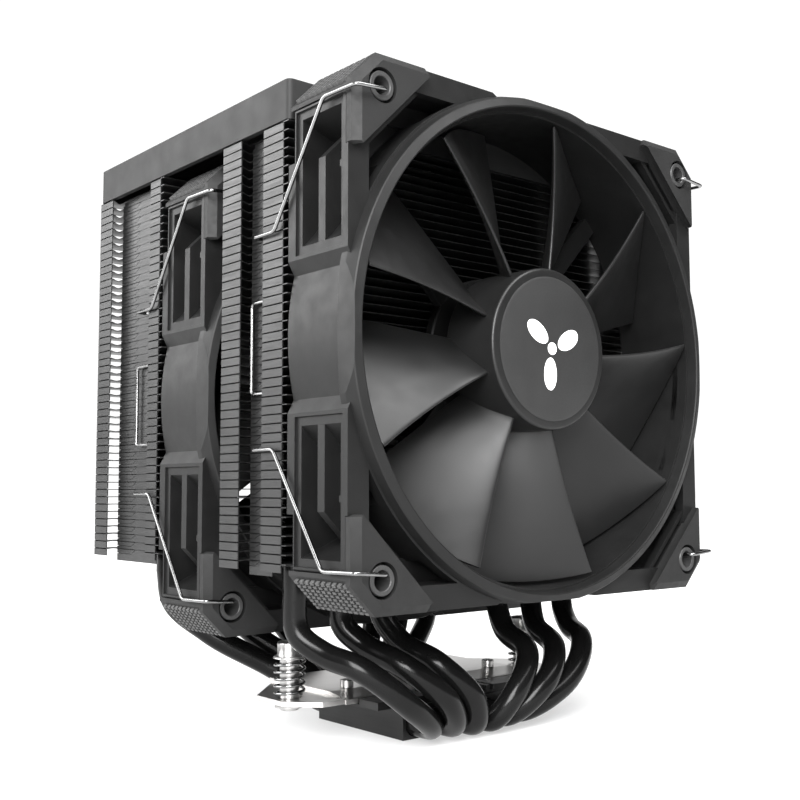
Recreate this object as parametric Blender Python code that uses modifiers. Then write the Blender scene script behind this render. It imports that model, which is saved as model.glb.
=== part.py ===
"""Twin-tower CPU cooler with two 120 mm fans, six heat pipes and a steel crossbar.

The origin is the centre of the base block's contact face. +Z runs up the towers, and the air flows
along +Y, from the front fan to the rear tower. All lengths are in metres.

Each fan is built about its own centre: x to the right, z up, and "depth" measured rearward from the
front face of its rubber corners. Its turning pieces hang on an empty on the fan's axis.
"""
import math

import bmesh
import bpy
from mathutils import Matrix, Vector
from mathutils.geometry import interpolate_bezier

MM = 0.001
MERGE = 0.00001          # merge distance for modifiers and curve caps
GAP = 0.3 * MM           # clearance between pieces that touch

# Towers
FIN_HALF_WIDTH = 60 * MM
FIN_BOTTOM = 43 * MM
FIN_TOP = 145.2 * MM
PLATES = 7               # thick plates that hold the metal of all the thin fins
PLATE_THICKNESS = 2.8 * MM
WALL = 1.2 * MM
NOTCH_DEPTH = 3.5 * MM
FOLD = 0.3 * MM          # slope of a folded edge
FRONT_STACK = {"front": -25.9 * MM, "notch": (-15.7 * MM, -5.9 * MM), "rear": 2.4 * MM, "step": 2 * MM}
REAR_STACK = {"front": 33.1 * MM, "notch": (40.6 * MM, 64.1 * MM), "rear": 71.9 * MM, "step": 1.9 * MM}
COVER_BOTTOM = FIN_TOP + GAP
COVER_TOP = 155 * MM
COVER_WALL = 1.5 * MM
COVER_CORNER = 1.4 * MM

# Heat pipes, by their place: spacing in the base and in the towers, the rear leg's Y, and where the
# front and rear bends meet the straight run through the base, in mm
PIPE_RADIUS = 3 * MM
PIPE_HOLE_RADIUS = 3.8 * MM
PIPE_AXIS_HEIGHT = 3.65 * MM
PIPE_TIP = FIN_TOP + 4 * MM
FRONT_LEG_Y = -10.6 * MM
PIPES = {
    "outer": {"base_x": 15.5, "tower_x": 47.1, "rear_y": 52.4, "dips": (-22.7, 22)},
    "middle": {"base_x": 9.4, "tower_x": 33.8, "rear_y": 49.4, "dips": (-24.4, 24.4)},
    "inner": {"base_x": 3.3, "tower_x": 19.7, "rear_y": 46.4, "dips": (-26, 27.8)},
}
# The bends' own points in mm, from the front leg down to the base, and from the base up to the rear leg
FRONT_BENDS = {
    "outer": ((46.2, -11.4, 27.2), (43, -16.6, 23.1), (39.1, -24.4, 20.5), (26.3, -29.4, 10.2)),
    "middle": ((33, -11.6, 28), (30.3, -15.3, 24.2), (26, -26.3, 19.5), (17.4, -30.9, 11.8)),
    "inner": ((20.5, -10.2, 31), (18.5, -14.9, 24.1), (15.5, -26.4, 19.1), (7, -29.9, 10)),
}
REAR_BENDS = {
    "outer": ((24.8, 30.4, 11.9), (40.5, 41.4, 22.6), (46.5, 50.6, 30.9)),
    "middle": ((16, 30.8, 11.9), (27.6, 40.2, 22), (33.5, 47.7, 30.6)),
    "inner": ((7.6, 32, 9.4), (15.4, 38.4, 20.5), (19.5, 44.6, 30.3)),
}

# Base
BLOCK_HALF_WIDTH = 19.5 * MM
BLOCK_HALF_DEPTH = 17.6 * MM
BLOCK_HEIGHT = 8.05 * MM
TOP_PLATE_HALF_WIDTH = 28 * MM
TOP_PLATE_BOTTOM = BLOCK_HEIGHT + GAP
TOP_PLATE_FRONT = -18.3 * MM
TOP_PLATE_REAR = 19 * MM
TOP_PLATE_RIM = 10.3 * MM
TOP_PLATE_SEAT = 9.95 * MM
TOP_PLATE_CHANNEL = 8.95 * MM
RIDGE_PITCH = 2.6 * MM
RIDGE_SLOT = 1.2 * MM
RIDGES = 9

# Crossbar
BAR_THICKNESS = 1.2 * MM
BAR_CENTRE_BOTTOM = 10.25 * MM
BAR_CENTRE_HALF = 31.7 * MM
BAR_STEP = 0.9 * MM
BAR_HALF_LENGTH = 45.5 * MM
BAR_FRONT = -10.6 * MM
BAR_BEND = -3.7 * MM
BAR_REAR = 23.2 * MM
FIXING_SCREW_X = 25 * MM
FIXING_SCREW_Y = -2 * MM

# Spring screws
SPRING_SCREW_X = 41 * MM
SPRING_SCREW_Y = 0.2 * MM
SCREW_HEAD_TOP = 24.2 * MM
SCREW_HEAD_HEIGHT = 4.2 * MM
SCREW_HEAD_RADIUS = 4.2 * MM
SCREW_SHAFT_RADIUS = 2.4 * MM
SCREW_BORE_RADIUS = 1.5 * MM
SCREW_BORE_DEPTH = 8 * MM
SCREW_END = 7.7 * MM
LUG_HOLE_RADIUS = 2.9 * MM
SPRING_RADIUS = 3.6 * MM     # middle of the wire
SPRING_WIRE = 0.5 * MM
SPRING_TURNS = 5

# Fans
FRONT_FAN = Vector((0, -50.6, 95.2)) * MM
MIDDLE_FAN = Vector((0, 8.4, 85.2)) * MM
FAN_HALF = 60 * MM
FRAME_FRONT = 2.4 * MM
FRAME_REAR = 24.4 * MM
DUCT_RADIUS = 57.3 * MM
DUCT_OUTER = 60 * MM
CORNER_START = 17 * MM       # where a corner block begins, measured from the middle of a side
CORNER_CHAMFER = 113.4 * MM  # x + z along a rubber corner's knurled face
PAD_THICKNESS = 1.5 * MM
PLATE_REACH = 58.2 * MM      # a rubber plate's outer edges, chamfer and inner corners
PLATE_CHAMFER = 53.7 * MM
PLATE_INNER = 39.3 * MM
PLATE_THICK = 2.1 * MM
SCREW_HOLE_PLACE = 52.5 * MM
SCREW_HOLE_RADIUS = 2.15 * MM
BLADES = 9
BLADE_TIP_RADIUS = 56.3 * MM
FIRST_BLADE = math.radians(6.1)

parts = bpy.data.collections.new("cpu_tower_cooler")
cutters = bpy.data.collections.new("cutters")


def start_scene():
    """Empty the scene and add the two collections."""
    for obj in list(bpy.data.objects):
        bpy.data.objects.remove(obj, do_unlink=True)
    for collection in (parts, cutters):
        bpy.context.scene.collection.children.link(collection)


def material(name, colour, roughness, metallic):
    """A Principled material with one colour."""
    made = bpy.data.materials.new(name)
    made.use_nodes = True
    shader = made.node_tree.nodes["Principled BSDF"]
    shader.inputs["Base Color"].default_value = (*colour, 1)
    shader.inputs["Roughness"].default_value = roughness
    shader.inputs["Metallic"].default_value = metallic
    made.diffuse_color = (*colour, 1)
    return made


# Small tools -------------------------------------------------------------------------------------

def add(name, mesh, finish=None, parent=None, cutter=False):
    """Put a mesh in the scene as a part, or as a hidden cutter."""
    obj = bpy.data.objects.new(name, mesh)
    (cutters if cutter else parts).objects.link(obj)
    obj.parent = parent
    if cutter:
        obj.hide_render = True
        obj.display_type = "WIRE"
    else:
        mesh.materials.append(finish)
    return obj


def empty(name, location):
    """An empty that carries the pieces placed around it."""
    obj = bpy.data.objects.new(name, None)
    parts.objects.link(obj)
    obj.location = location
    return obj


def box_mesh(name, boxes):
    """One mesh of boxes, each given by its low and high corners."""
    bm = bmesh.new()
    for low, high in boxes:
        low, high = Vector(low), Vector(high)
        size = high - low
        place = Matrix.Translation((low + high) / 2) @ Matrix.Diagonal((*size, 1))
        bmesh.ops.create_cube(bm, size=1, matrix=place)
    mesh = bpy.data.meshes.new(name)
    bm.to_mesh(mesh)
    bm.free()
    return mesh


def rod_mesh(name, rods, segments=16):
    """One mesh of round rods, each (start, end, radius), along any direction."""
    bm = bmesh.new()
    for start, end, radius in rods:
        start, end = Vector(start), Vector(end)
        along = end - start
        turn = Vector((0, 0, 1)).rotation_difference(along).to_matrix().to_4x4()
        place = Matrix.Translation((start + end) / 2) @ turn
        place = place @ Matrix.Rotation(math.pi / segments, 4, "Z")
        bmesh.ops.create_cone(bm, cap_ends=True, segments=segments, radius1=radius, radius2=radius,
                              depth=along.length, matrix=place)
    mesh = bpy.data.meshes.new(name)
    bm.to_mesh(mesh)
    bm.free()
    return mesh


def outline_mesh(name, loops, low, high, plane="XY"):
    """Flat outlines, later loops being holes, made solid between two heights.

    In the plane XY the height is Z. In XZ it is the depth along +Y, and in YZ it is X. The curve
    is drawn in millimetres, because a flat curve this small isn't filled cleanly in metres.
    """
    curve = bpy.data.curves.new(name, "CURVE")
    curve.dimensions = "2D"
    curve.fill_mode = "BOTH"
    curve.extrude = (high - low) / 2 / MM
    for loop in loops:
        spline = curve.splines.new("POLY")
        spline.points.add(len(loop) - 1)
        spline.use_cyclic_u = True
        for point, (u, v) in zip(spline.points, loop):
            point.co = (u / MM, v / MM, 0, 1)
    flat = bpy.data.objects.new(name + "_outline", curve)
    bpy.context.scene.collection.objects.link(flat)
    bpy.context.view_layer.update()
    mesh = bpy.data.meshes.new_from_object(flat.evaluated_get(bpy.context.evaluated_depsgraph_get()))
    mesh.name = name
    bpy.data.objects.remove(flat, do_unlink=True)
    middle = (low + high) / 2
    frames = {
        "XY": Matrix(((1, 0, 0, 0), (0, 1, 0, 0), (0, 0, 1, middle), (0, 0, 0, 1))),
        "XZ": Matrix(((1, 0, 0, 0), (0, 0, -1, middle), (0, 1, 0, 0), (0, 0, 0, 1))),
        "YZ": Matrix(((0, 0, 1, middle), (1, 0, 0, 0), (0, 1, 0, 0), (0, 0, 0, 1))),
    }
    bm = bmesh.new()
    bm.from_mesh(mesh)
    bmesh.ops.transform(bm, matrix=frames[plane] @ Matrix.Scale(MM, 4), verts=bm.verts)
    bmesh.ops.remove_doubles(bm, verts=bm.verts, dist=MERGE)
    bm.to_mesh(mesh)
    bm.free()
    return mesh


def turned(name, profile, closed, segments, finish=None, parent=None, location=(0, 0, 0), cutter=False):
    """A turned piece: (radius, height) points that run down the outer side, spun about Z."""
    bm = bmesh.new()
    verts = [bm.verts.new((radius, 0, height)) for radius, height in profile]
    for first, second in zip(verts, verts[1:]):
        bm.edges.new((first, second))
    if closed:
        bm.edges.new((verts[-1], verts[0]))
    mesh = bpy.data.meshes.new(name)
    bm.to_mesh(mesh)
    bm.free()
    obj = add(name, mesh, finish, parent, cutter)
    obj.location = location
    screw = obj.modifiers.new("turn", "SCREW")
    screw.steps = segments
    screw.render_steps = segments
    screw.use_merge_vertices = True
    screw.merge_threshold = MERGE
    return obj


def face_front(obj):
    """Turn a piece built about Z so that its top faces the front of a fan, along -Y."""
    obj.rotation_euler = (math.radians(90), 0, 0)
    return obj


def depths(profile):
    """A fan profile given as (radius, depth) becomes (radius, height)."""
    return [(radius * MM, -depth * MM) for radius, depth in profile]


def boolean(obj, other, operation):
    """Cut another object from this one, or join it on."""
    modifier = obj.modifiers.new(other.name, "BOOLEAN")
    modifier.operation = operation
    modifier.object = other


def smooth(obj, angle=35):
    """Smooth shading with sharp edges kept."""
    mesh = obj.data
    mesh.shade_smooth()
    mesh.set_sharp_from_angle(angle=math.radians(angle))


def tube(name, points, radius, finish, rounds=2, parent=None, location=(0, 0, 0)):
    """A round wire or pipe along a list of points."""
    curve = bpy.data.curves.new(name, "CURVE")
    curve.dimensions = "3D"
    curve.bevel_depth = radius
    curve.bevel_resolution = rounds
    curve.use_fill_caps = True
    spline = curve.splines.new("POLY")
    spline.points.add(len(points) - 1)
    for point, place in zip(spline.points, points):
        point.co = (*(Vector(place) - Vector(location)), 1)
    obj = bpy.data.objects.new(name, curve)
    parts.objects.link(obj)
    obj.parent = parent
    obj.location = location
    curve.materials.append(finish)
    return obj


def smooth_path(points, steps):
    """Points along a smooth curve that passes through each given point."""
    points = [Vector(point) for point in points]
    lengths = [(b - a).length for a, b in zip(points, points[1:])]
    tangents = [points[1] - points[0]]
    for before, here, after, back, ahead in zip(points, points[1:], points[2:], lengths, lengths[1:]):
        tangents.append((here - before) * ahead / (back * (back + ahead))
                        + (after - here) * back / (ahead * (back + ahead)))
    tangents[0] = tangents[0] / lengths[0]
    tangents.append((points[-1] - points[-2]) / lengths[-1])
    path = []
    for index, length in enumerate(lengths):
        start, end = points[index], points[index + 1]
        handle = length / 3
        path += interpolate_bezier(start, start + tangents[index] * handle,
                                   end - tangents[index + 1] * handle, end, steps + 1)[:-1]
    return path + [points[-1]]


def ring(radius, segments, centre=(0, 0)):
    """Points of a circle in a flat outline."""
    turn = math.tau / segments
    return [(centre[0] + radius * math.cos(turn * i), centre[1] + radius * math.sin(turn * i))
            for i in range(segments)]


def rounded_rectangle(low, high, radius, segments=3):
    """A rectangle between two corners, with quarter-round corners."""
    corners = ((high[0] - radius, high[1] - radius, 0), (low[0] + radius, high[1] - radius, 90),
               (low[0] + radius, low[1] + radius, 180), (high[0] - radius, low[1] + radius, 270))
    points = []
    for x, y, start in corners:
        for step in range(segments + 1):
            angle = math.radians(start + 90 * step / segments)
            points.append((x + radius * math.cos(angle), y + radius * math.sin(angle)))
    return points


def mirrored(half):
    """A closed outline from the right half of it, given from front to rear."""
    return half + [(-x, y) for x, y in reversed(half)]


def quarter_turns(points):
    """The same outline at each of the four corners or sides of a fan."""
    turned_points = []
    for quarter in range(4):
        c, s = ((1, 0), (0, 1), (-1, 0), (0, -1))[quarter]
        turned_points.append([(x * c - z * s, x * s + z * c) for x, z in points])
    return turned_points


# Towers ------------------------------------------------------------------------------------------

def top_cover(finish):
    """The shallow tray over both towers, open underneath."""
    low = (-FIN_HALF_WIDTH, FRONT_STACK["front"])
    high = (FIN_HALF_WIDTH, REAR_STACK["rear"])
    outside = rounded_rectangle(low, high, COVER_CORNER)
    cover = add("top_cover", outline_mesh("top_cover", [outside], COVER_BOTTOM, COVER_TOP), finish)
    low = (low[0] + COVER_WALL, low[1] + COVER_WALL, COVER_BOTTOM - COVER_WALL)
    high = (high[0] - COVER_WALL, high[1] - COVER_WALL, COVER_TOP - COVER_WALL)
    hollow = add("cover_hollow", box_mesh("cover_hollow", [(low, high)]), cutter=True)
    boolean(cover, hollow, "DIFFERENCE")


def fin_stack(name, stack, pipe_rows, finish):
    """One tower: plates joined by the folded flanges and the recessed middle of each side."""
    outer = FIN_HALF_WIDTH
    floor = outer - NOTCH_DEPTH
    front, (notch_front, notch_rear), rear = stack["front"], stack["notch"], stack["rear"]
    outline = mirrored([(outer, front), (outer, notch_front), (floor, notch_front + FOLD),
                        (floor, notch_rear - FOLD), (outer, notch_rear), (outer, rear)])
    tower = add(name, outline_mesh(name, [outline], FIN_BOTTOM, FIN_TOP), finish)
    flange = front + stack["step"]
    space = mirrored([(outer + WALL, front - WALL), (outer + WALL, flange), (outer - WALL, flange + FOLD),
                      (outer - WALL, notch_front - WALL - FOLD), (floor - WALL, notch_front - WALL),
                      (floor - WALL, notch_rear + WALL), (outer - WALL, notch_rear + WALL + FOLD),
                      (outer - WALL, rear + WALL)])
    pitch = (FIN_TOP - FIN_BOTTOM - PLATE_THICKNESS) / (PLATES - 1)
    bm = bmesh.new()
    for index in range(PLATES - 1):
        low = FIN_BOTTOM + PLATE_THICKNESS + index * pitch
        bm.from_mesh(outline_mesh("space", [space], low, low + pitch - PLATE_THICKNESS))
    spaces = bpy.data.meshes.new(name + "_spaces")
    bm.to_mesh(spaces)
    bm.free()
    boolean(tower, add(name + "_spaces", spaces, cutter=True), "DIFFERENCE")
    rods = [((x, y, FIN_BOTTOM - WALL), (x, y, FIN_TOP + WALL), PIPE_HOLE_RADIUS) for x, y in pipe_rows]
    holes = add(name + "_pipe_holes", rod_mesh(name + "_pipe_holes", rods, segments=6), cutter=True)
    boolean(tower, holes, "DIFFERENCE")


def towers(finish):
    """Both fin stacks, with a hole for each pipe leg."""
    sides = (-MM, MM)
    front_rows = [(side * pipe["tower_x"], FRONT_LEG_Y) for pipe in PIPES.values() for side in sides]
    rear_rows = [(side * pipe["tower_x"], pipe["rear_y"] * MM) for pipe in PIPES.values() for side in sides]
    fin_stack("front_fin_stack", FRONT_STACK, front_rows, finish)
    fin_stack("rear_fin_stack", REAR_STACK, rear_rows, finish)


def heat_pipe(side, place, finish):
    """One U-shaped pipe: down from the front tower, through the base and up into the rear tower."""
    pipe = PIPES[place]
    tower_x, base_x, rear_y = pipe["tower_x"] * MM, pipe["base_x"] * MM, pipe["rear_y"] * MM
    bend_top = FIN_BOTTOM - 3.8 * MM
    front = [Vector((tower_x, FRONT_LEG_Y, bend_top))]
    front += [Vector(point) * MM for point in FRONT_BENDS[place]]
    base_run = (-BLOCK_HALF_DEPTH, BLOCK_HALF_DEPTH)
    ends = [[Vector((base_x, y, PIPE_AXIS_HEIGHT)) for y in (dip * MM, end)]
            for dip, end in zip(pipe["dips"], base_run)]
    front += ends[0]
    rear = ends[1][::-1]
    rear += [Vector(point) * MM for point in REAR_BENDS[place]]
    rear += [Vector((tower_x, rear_y, bend_top))]
    path = [Vector((tower_x, FRONT_LEG_Y, PIPE_TIP))] + smooth_path(front, 2)
    path += smooth_path(rear, 2) + [Vector((tower_x, rear_y, PIPE_TIP))]
    sign = 1 if side == "right" else -1
    # the curve may not swing below the straight run in the base, or inward of it
    route = [(sign * max(x, base_x), y, max(z, PIPE_AXIS_HEIGHT)) for x, y, z in path]
    tube(f"{side}_{place}_heat_pipe", route, PIPE_RADIUS, finish)


# Base --------------------------------------------------------------------------------------------

def base_block(finish):
    """The block that presses on the processor, with a passage for the six pipes."""
    half = (BLOCK_HALF_WIDTH, BLOCK_HALF_DEPTH)
    corners = ((-half[0], -half[1], 0), (half[0], half[1], BLOCK_HEIGHT))
    block = add("base_block", box_mesh("base_block", [corners]), finish)
    for pipe in PIPES.values():
        for side in (-MM, MM):
            x = side * pipe["base_x"]
            start = (x, -half[1] - MM, PIPE_AXIS_HEIGHT)
            end = (x, half[1] + MM, PIPE_AXIS_HEIGHT)
            mesh = rod_mesh("pipe_passage", [(start, end, PIPE_RADIUS + 1.2 * GAP)], segments=12)
            boolean(block, add("pipe_passage", mesh, cutter=True), "DIFFERENCE")


def top_plate(finish):
    """The ridged plate over the pipes, with a channel that the crossbar lies in."""
    side_view = [(TOP_PLATE_FRONT, TOP_PLATE_BOTTOM), (TOP_PLATE_REAR, TOP_PLATE_BOTTOM),
                 (TOP_PLATE_REAR, TOP_PLATE_SEAT), (BAR_BEND, TOP_PLATE_SEAT),
                 (BAR_FRONT - GAP, TOP_PLATE_CHANNEL - 0.1 * MM), (BAR_FRONT - GAP, TOP_PLATE_RIM),
                 (TOP_PLATE_FRONT, TOP_PLATE_RIM)]
    half = TOP_PLATE_HALF_WIDTH
    plate = add("base_top_plate", outline_mesh("base_top_plate", [side_view], -half, half, "YZ"), finish)
    slots = []
    for index in range(RIDGES):
        x = (index - (RIDGES - 1) / 2) * RIDGE_PITCH
        low = (x - RIDGE_SLOT / 2, TOP_PLATE_FRONT - MM, TOP_PLATE_BOTTOM + 0.6 * MM)
        slots.append((low, (x + RIDGE_SLOT / 2, BAR_FRONT + MM, TOP_PLATE_RIM + MM)))
    boolean(plate, add("ridge_slots", box_mesh("ridge_slots", slots), cutter=True), "DIFFERENCE")


def crossbar(finish):
    """The pressed steel bar: a raised middle with a sloping front lip, and a lower lug at each end."""
    top = BAR_CENTRE_BOTTOM + BAR_THICKNESS
    lip = 1.1 * MM
    side_view = [(BAR_FRONT, BAR_CENTRE_BOTTOM - lip), (BAR_BEND, BAR_CENTRE_BOTTOM),
                 (BAR_REAR, BAR_CENTRE_BOTTOM), (BAR_REAR, top), (BAR_BEND, top), (BAR_FRONT, top - lip)]
    half = BAR_CENTRE_HALF
    bar = add("mounting_crossbar", outline_mesh("mounting_crossbar", [side_view], -half, half, "YZ"), finish)
    inner = half - BAR_THICKNESS
    chamfer = 7 * MM
    lug_front = BAR_FRONT + 0.25 * MM
    rear_side = 8 * MM
    lug = [(inner, lug_front), (BAR_HALF_LENGTH - chamfer, lug_front), (BAR_HALF_LENGTH, lug_front + chamfer),
           (BAR_HALF_LENGTH, rear_side), (inner, rear_side + BAR_HALF_LENGTH - inner)]
    low = BAR_CENTRE_BOTTOM - BAR_STEP
    for side in (-1, 1):
        points = [(side * x, y) for x, y in lug]
        mesh = outline_mesh("lug", [points], low, low + BAR_THICKNESS)
        boolean(bar, add("lug", mesh, cutter=True), "UNION")
    rods = []
    for side in (-1, 1):
        x, y = side * SPRING_SCREW_X, SPRING_SCREW_Y
        rods.append(((x, y, low - MM), (x, y, top + MM), LUG_HOLE_RADIUS))
        x, y = side * FIXING_SCREW_X, FIXING_SCREW_Y
        rods.append(((x, y, low - MM), (x, y, top + MM), 1.3 * MM))
    boolean(bar, add("bar_holes", rod_mesh("bar_holes", rods), cutter=True), "DIFFERENCE")


def fixing_screw(side, finish):
    """A small screw that holds the crossbar down on the top plate."""
    name = f"{side}_crossbar_screw"
    sign = 1 if side == "right" else -1
    bar_top = BAR_CENTRE_BOTTOM + BAR_THICKNESS
    profile = [(0, 2), (1.4, 2), (1.7, 1.7), (1.7, 0), (0.9, 0), (0.9, -1.3), (0, -1.3)]
    screw = turned(name, [(r * MM, z * MM) for r, z in profile], False, 12, finish,
                   location=(sign * FIXING_SCREW_X, FIXING_SCREW_Y, bar_top + GAP / 2))
    smooth(screw)


def spring_screw(side, finish, spring_finish):
    """A sprung sleeve screw through a lug, the coil spring around it and the clip that holds it in.

    Its thread is inside: a blind bore in its lower end, which goes on a stud beside the socket.
    """
    sign = 1 if side == "right" else -1
    place = (sign * SPRING_SCREW_X, SPRING_SCREW_Y, 0)
    lug_bottom = BAR_CENTRE_BOTTOM - BAR_STEP
    lug_top = lug_bottom + BAR_THICKNESS
    head_bottom = SCREW_HEAD_TOP - SCREW_HEAD_HEIGHT
    head, shaft, bore = SCREW_HEAD_RADIUS, SCREW_SHAFT_RADIUS, SCREW_BORE_RADIUS
    clip_top = lug_bottom - GAP
    clip_bottom = clip_top - 0.8 * MM
    groove = shaft - 0.6 * MM
    bevel = 0.8 * MM
    profile = [(0, SCREW_HEAD_TOP), (head - bevel, SCREW_HEAD_TOP), (head, SCREW_HEAD_TOP - bevel),
               (head, head_bottom), (shaft, head_bottom), (shaft, clip_top), (groove, clip_top),
               (groove, clip_bottom), (shaft, clip_bottom), (shaft, SCREW_END), (bore, SCREW_END),
               (bore, SCREW_END + SCREW_BORE_DEPTH), (0, SCREW_END + SCREW_BORE_DEPTH)]
    screw = turned(f"{side}_spring_screw", profile, False, 16, finish, location=place)
    slot_half = 0.6 * MM
    slot = box_mesh("drive_slot", [((-slot_half, -head / 2, SCREW_HEAD_TOP - 1.5 * MM),
                                    (slot_half, head / 2, SCREW_HEAD_TOP + MM))])
    slot_cutter = add(f"{side}_drive_slot", slot, cutter=True)
    slot_cutter.location = place
    boolean(screw, slot_cutter, "DIFFERENCE")
    smooth(screw)

    clearance = 0.1 * MM
    clip = [(groove + clearance, clip_top - clearance), (3.6 * MM, clip_top - clearance),
            (3.6 * MM, clip_bottom + clearance), (groove + clearance, clip_bottom + clearance)]
    retainer = turned(f"{side}_retaining_clip", clip, True, 16, finish, location=place)
    smooth(retainer)

    low = lug_top + SPRING_WIRE + 0.1 * MM
    high = head_bottom - SPRING_WIRE - 0.1 * MM
    steps = SPRING_TURNS * 8
    coil = []
    for step in range(steps + 1):
        angle = math.tau * SPRING_TURNS * step / steps
        coil.append((place[0] + SPRING_RADIUS * math.cos(angle), place[1] + SPRING_RADIUS * math.sin(angle),
                     low + (high - low) * step / steps))
    tube(f"{side}_screw_spring", coil, SPRING_WIRE, spring_finish, rounds=1, location=place)


# Fans --------------------------------------------------------------------------------------------

def frame_outline():
    """The frame seen from the front: straight at the corner blocks, round between them."""
    corner = CORNER_CHAMFER - math.sqrt(2) * (PAD_THICKNESS + GAP) - FAN_HALF
    sides = []
    bulge = math.degrees(math.asin(13.9 * MM / DUCT_OUTER))
    for step in range(5):
        angle = math.radians(bulge * (step / 2 - 1))
        sides.append((DUCT_OUTER * math.cos(angle), DUCT_OUTER * math.sin(angle)))
    side = [(FAN_HALF, -corner), (FAN_HALF, -CORNER_START)] + sides
    side += [(FAN_HALF, CORNER_START), (FAN_HALF, corner)]
    return [point for points in quarter_turns(side) for point in points]


def side_windows():
    """Pockets in the corner blocks: two side by side in each, as deep as the duct allows."""
    near, far, deepest = 19 * MM, 48.5 * MM, 50 * MM
    outline = [(FAN_HALF + MM, near)]
    for z in (near, 27 * MM, math.sqrt(DUCT_OUTER ** 2 - deepest ** 2)):
        outline.append((math.sqrt(DUCT_OUTER ** 2 - z ** 2) + GAP, z))
    outline += [(deepest + GAP, far), (FAN_HALF + MM, far)]
    bm = bmesh.new()
    for low, high in ((5.2 * MM, 11.3 * MM), (13.9 * MM, 18.9 * MM)):
        for points in quarter_turns(outline) + quarter_turns([(x, -z) for x, z in outline]):
            bm.from_mesh(outline_mesh("window", [points], low, high, "XZ"))
    mesh = bpy.data.meshes.new("side_windows")
    bm.to_mesh(mesh)
    bm.free()
    return mesh


def corner_plate():
    """The rubber corner's triangular plate seen from the front, at the upper right corner."""
    return [(PLATE_REACH, PLATE_INNER), (PLATE_REACH, PLATE_CHAMFER), (PLATE_CHAMFER, PLATE_REACH),
            (PLATE_INNER, PLATE_REACH)]


def fan_frame(fan, finish, axis):
    """The square frame: duct, front lip, corner blocks, motor base with its tube, and four struts."""
    loops = [frame_outline(), ring(DUCT_RADIUS, 32)]
    name = f"{fan}_fan_frame"
    frame = add(name, outline_mesh(name, loops, FRAME_FRONT, FRAME_REAR, "XZ"), finish, axis)
    lip = depths([(59, -0.5), (59.5, -0.5), (59.6, 1), (59.6, 3.4), (57.6, 3.4), (57.6, 2)])
    boolean(frame, face_front(turned(f"{fan}_lip", lip, True, 32, parent=axis, cutter=True)), "UNION")
    motor = depths([(0, 22.6), (3.9, 22.6), (3.9, 6), (5, 6), (5, 21.4), (20, 21.4), (20, 24.4), (0, 24.4)])
    boolean(frame, face_front(turned(f"{fan}_motor_base", motor, False, 16, parent=axis, cutter=True)), "UNION")
    bm = bmesh.new()
    for quarter in range(4):
        strut = box_mesh("strut", [((18 * MM, 21.9 * MM, -2.5 * MM), (58.6 * MM, 24.1 * MM, 2.5 * MM))])
        strut.transform(Matrix.Rotation(math.radians(45 + 90 * quarter), 4, "Y"))
        bm.from_mesh(strut)
    struts = bpy.data.meshes.new("struts")
    bm.to_mesh(struts)
    bm.free()
    boolean(frame, add(f"{fan}_struts", struts, parent=axis, cutter=True), "UNION")

    place = SCREW_HOLE_PLACE
    corners = [(x, z) for x in (-place, place) for z in (-place, place)]
    bosses = [((x, 0.3 * MM, z), (x, 3.4 * MM, z), 3.55 * MM) for x, z in corners]
    boolean(frame, add(f"{fan}_bosses", rod_mesh("bosses", bosses, 8), parent=axis, cutter=True), "UNION")
    edge = FAN_HALF + MM
    inner = PLATE_REACH + PLATE_INNER - 2 * GAP - edge
    bm = bmesh.new()
    for points in quarter_turns([(edge, inner), (edge, edge), (inner, edge)]):
        low = FRAME_REAR - PLATE_THICK - GAP
        bm.from_mesh(outline_mesh("recess", [points], low, FRAME_REAR + MM, "XZ"))
    recesses = bpy.data.meshes.new("rear_recesses")
    bm.to_mesh(recesses)
    bm.free()
    boolean(frame, add(f"{fan}_rear_recesses", recesses, parent=axis, cutter=True), "DIFFERENCE")
    boolean(frame, add(f"{fan}_windows", side_windows(), parent=axis, cutter=True), "DIFFERENCE")
    holes = [((x, -MM, z), (x, 26 * MM, z), SCREW_HOLE_RADIUS) for x, z in corners]
    boolean(frame, add(f"{fan}_screw_holes", rod_mesh("holes", holes, 8), parent=axis, cutter=True), "DIFFERENCE")


def rubber_corners(fan, finish, axis):
    """Four rubber corners: a front and a rear plate joined by the knurled face on the chamfer."""
    edge = CORNER_CHAMFER - FAN_HALF
    inset = PAD_THICKNESS * math.sqrt(2)
    pad = [(FAN_HALF, edge), (edge, FAN_HALF), (edge - inset, FAN_HALF), (FAN_HALF, edge - inset)]
    names = ("upper_right", "upper_left", "lower_left", "lower_right")
    plates = quarter_turns(corner_plate())
    place = SCREW_HOLE_PLACE
    centres = quarter_turns([(place, place)])
    for name, plate, strip, centre in zip(names, plates, quarter_turns(pad), centres):
        piece = f"{fan}_fan_{name}_rubber_corner"
        hole = ring(4 * MM, 8, centre[0])
        corner = add(piece, outline_mesh(piece, [plate, hole], 0, PLATE_THICK, "XZ"), finish, axis)
        rear = outline_mesh(piece, [plate, hole], FRAME_REAR - PLATE_THICK, FRAME_REAR, "XZ")
        bm = bmesh.new()
        bm.from_mesh(corner.data)
        bm.from_mesh(rear)
        bm.to_mesh(corner.data)
        bm.free()
        pad_mesh = outline_mesh("pad", [strip], MM, 23.5 * MM, "XZ")
        boolean(corner, add(f"{piece}_pad", pad_mesh, parent=axis, cutter=True), "UNION")


def blade_point(index, radial, chord):
    """A point on a blade: radial runs from hub to tip, chord from leading to trailing edge."""
    radius = 19.3 * MM + (BLADE_TIP_RADIUS - 19.3 * MM) * radial
    lead_angle = -5.7 * (1 - radial)
    span = 27 + 5 * radial
    lead_depth = 3.6 - 1.6 * radial
    drop = (11 + 5.5 * radial) * (chord + 0.5 * chord * (1 - chord))
    angle = FIRST_BLADE + math.tau * index / BLADES + math.radians(lead_angle - span * chord)
    return (radius * math.cos(angle), (lead_depth + drop) * MM, radius * math.sin(angle))


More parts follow.
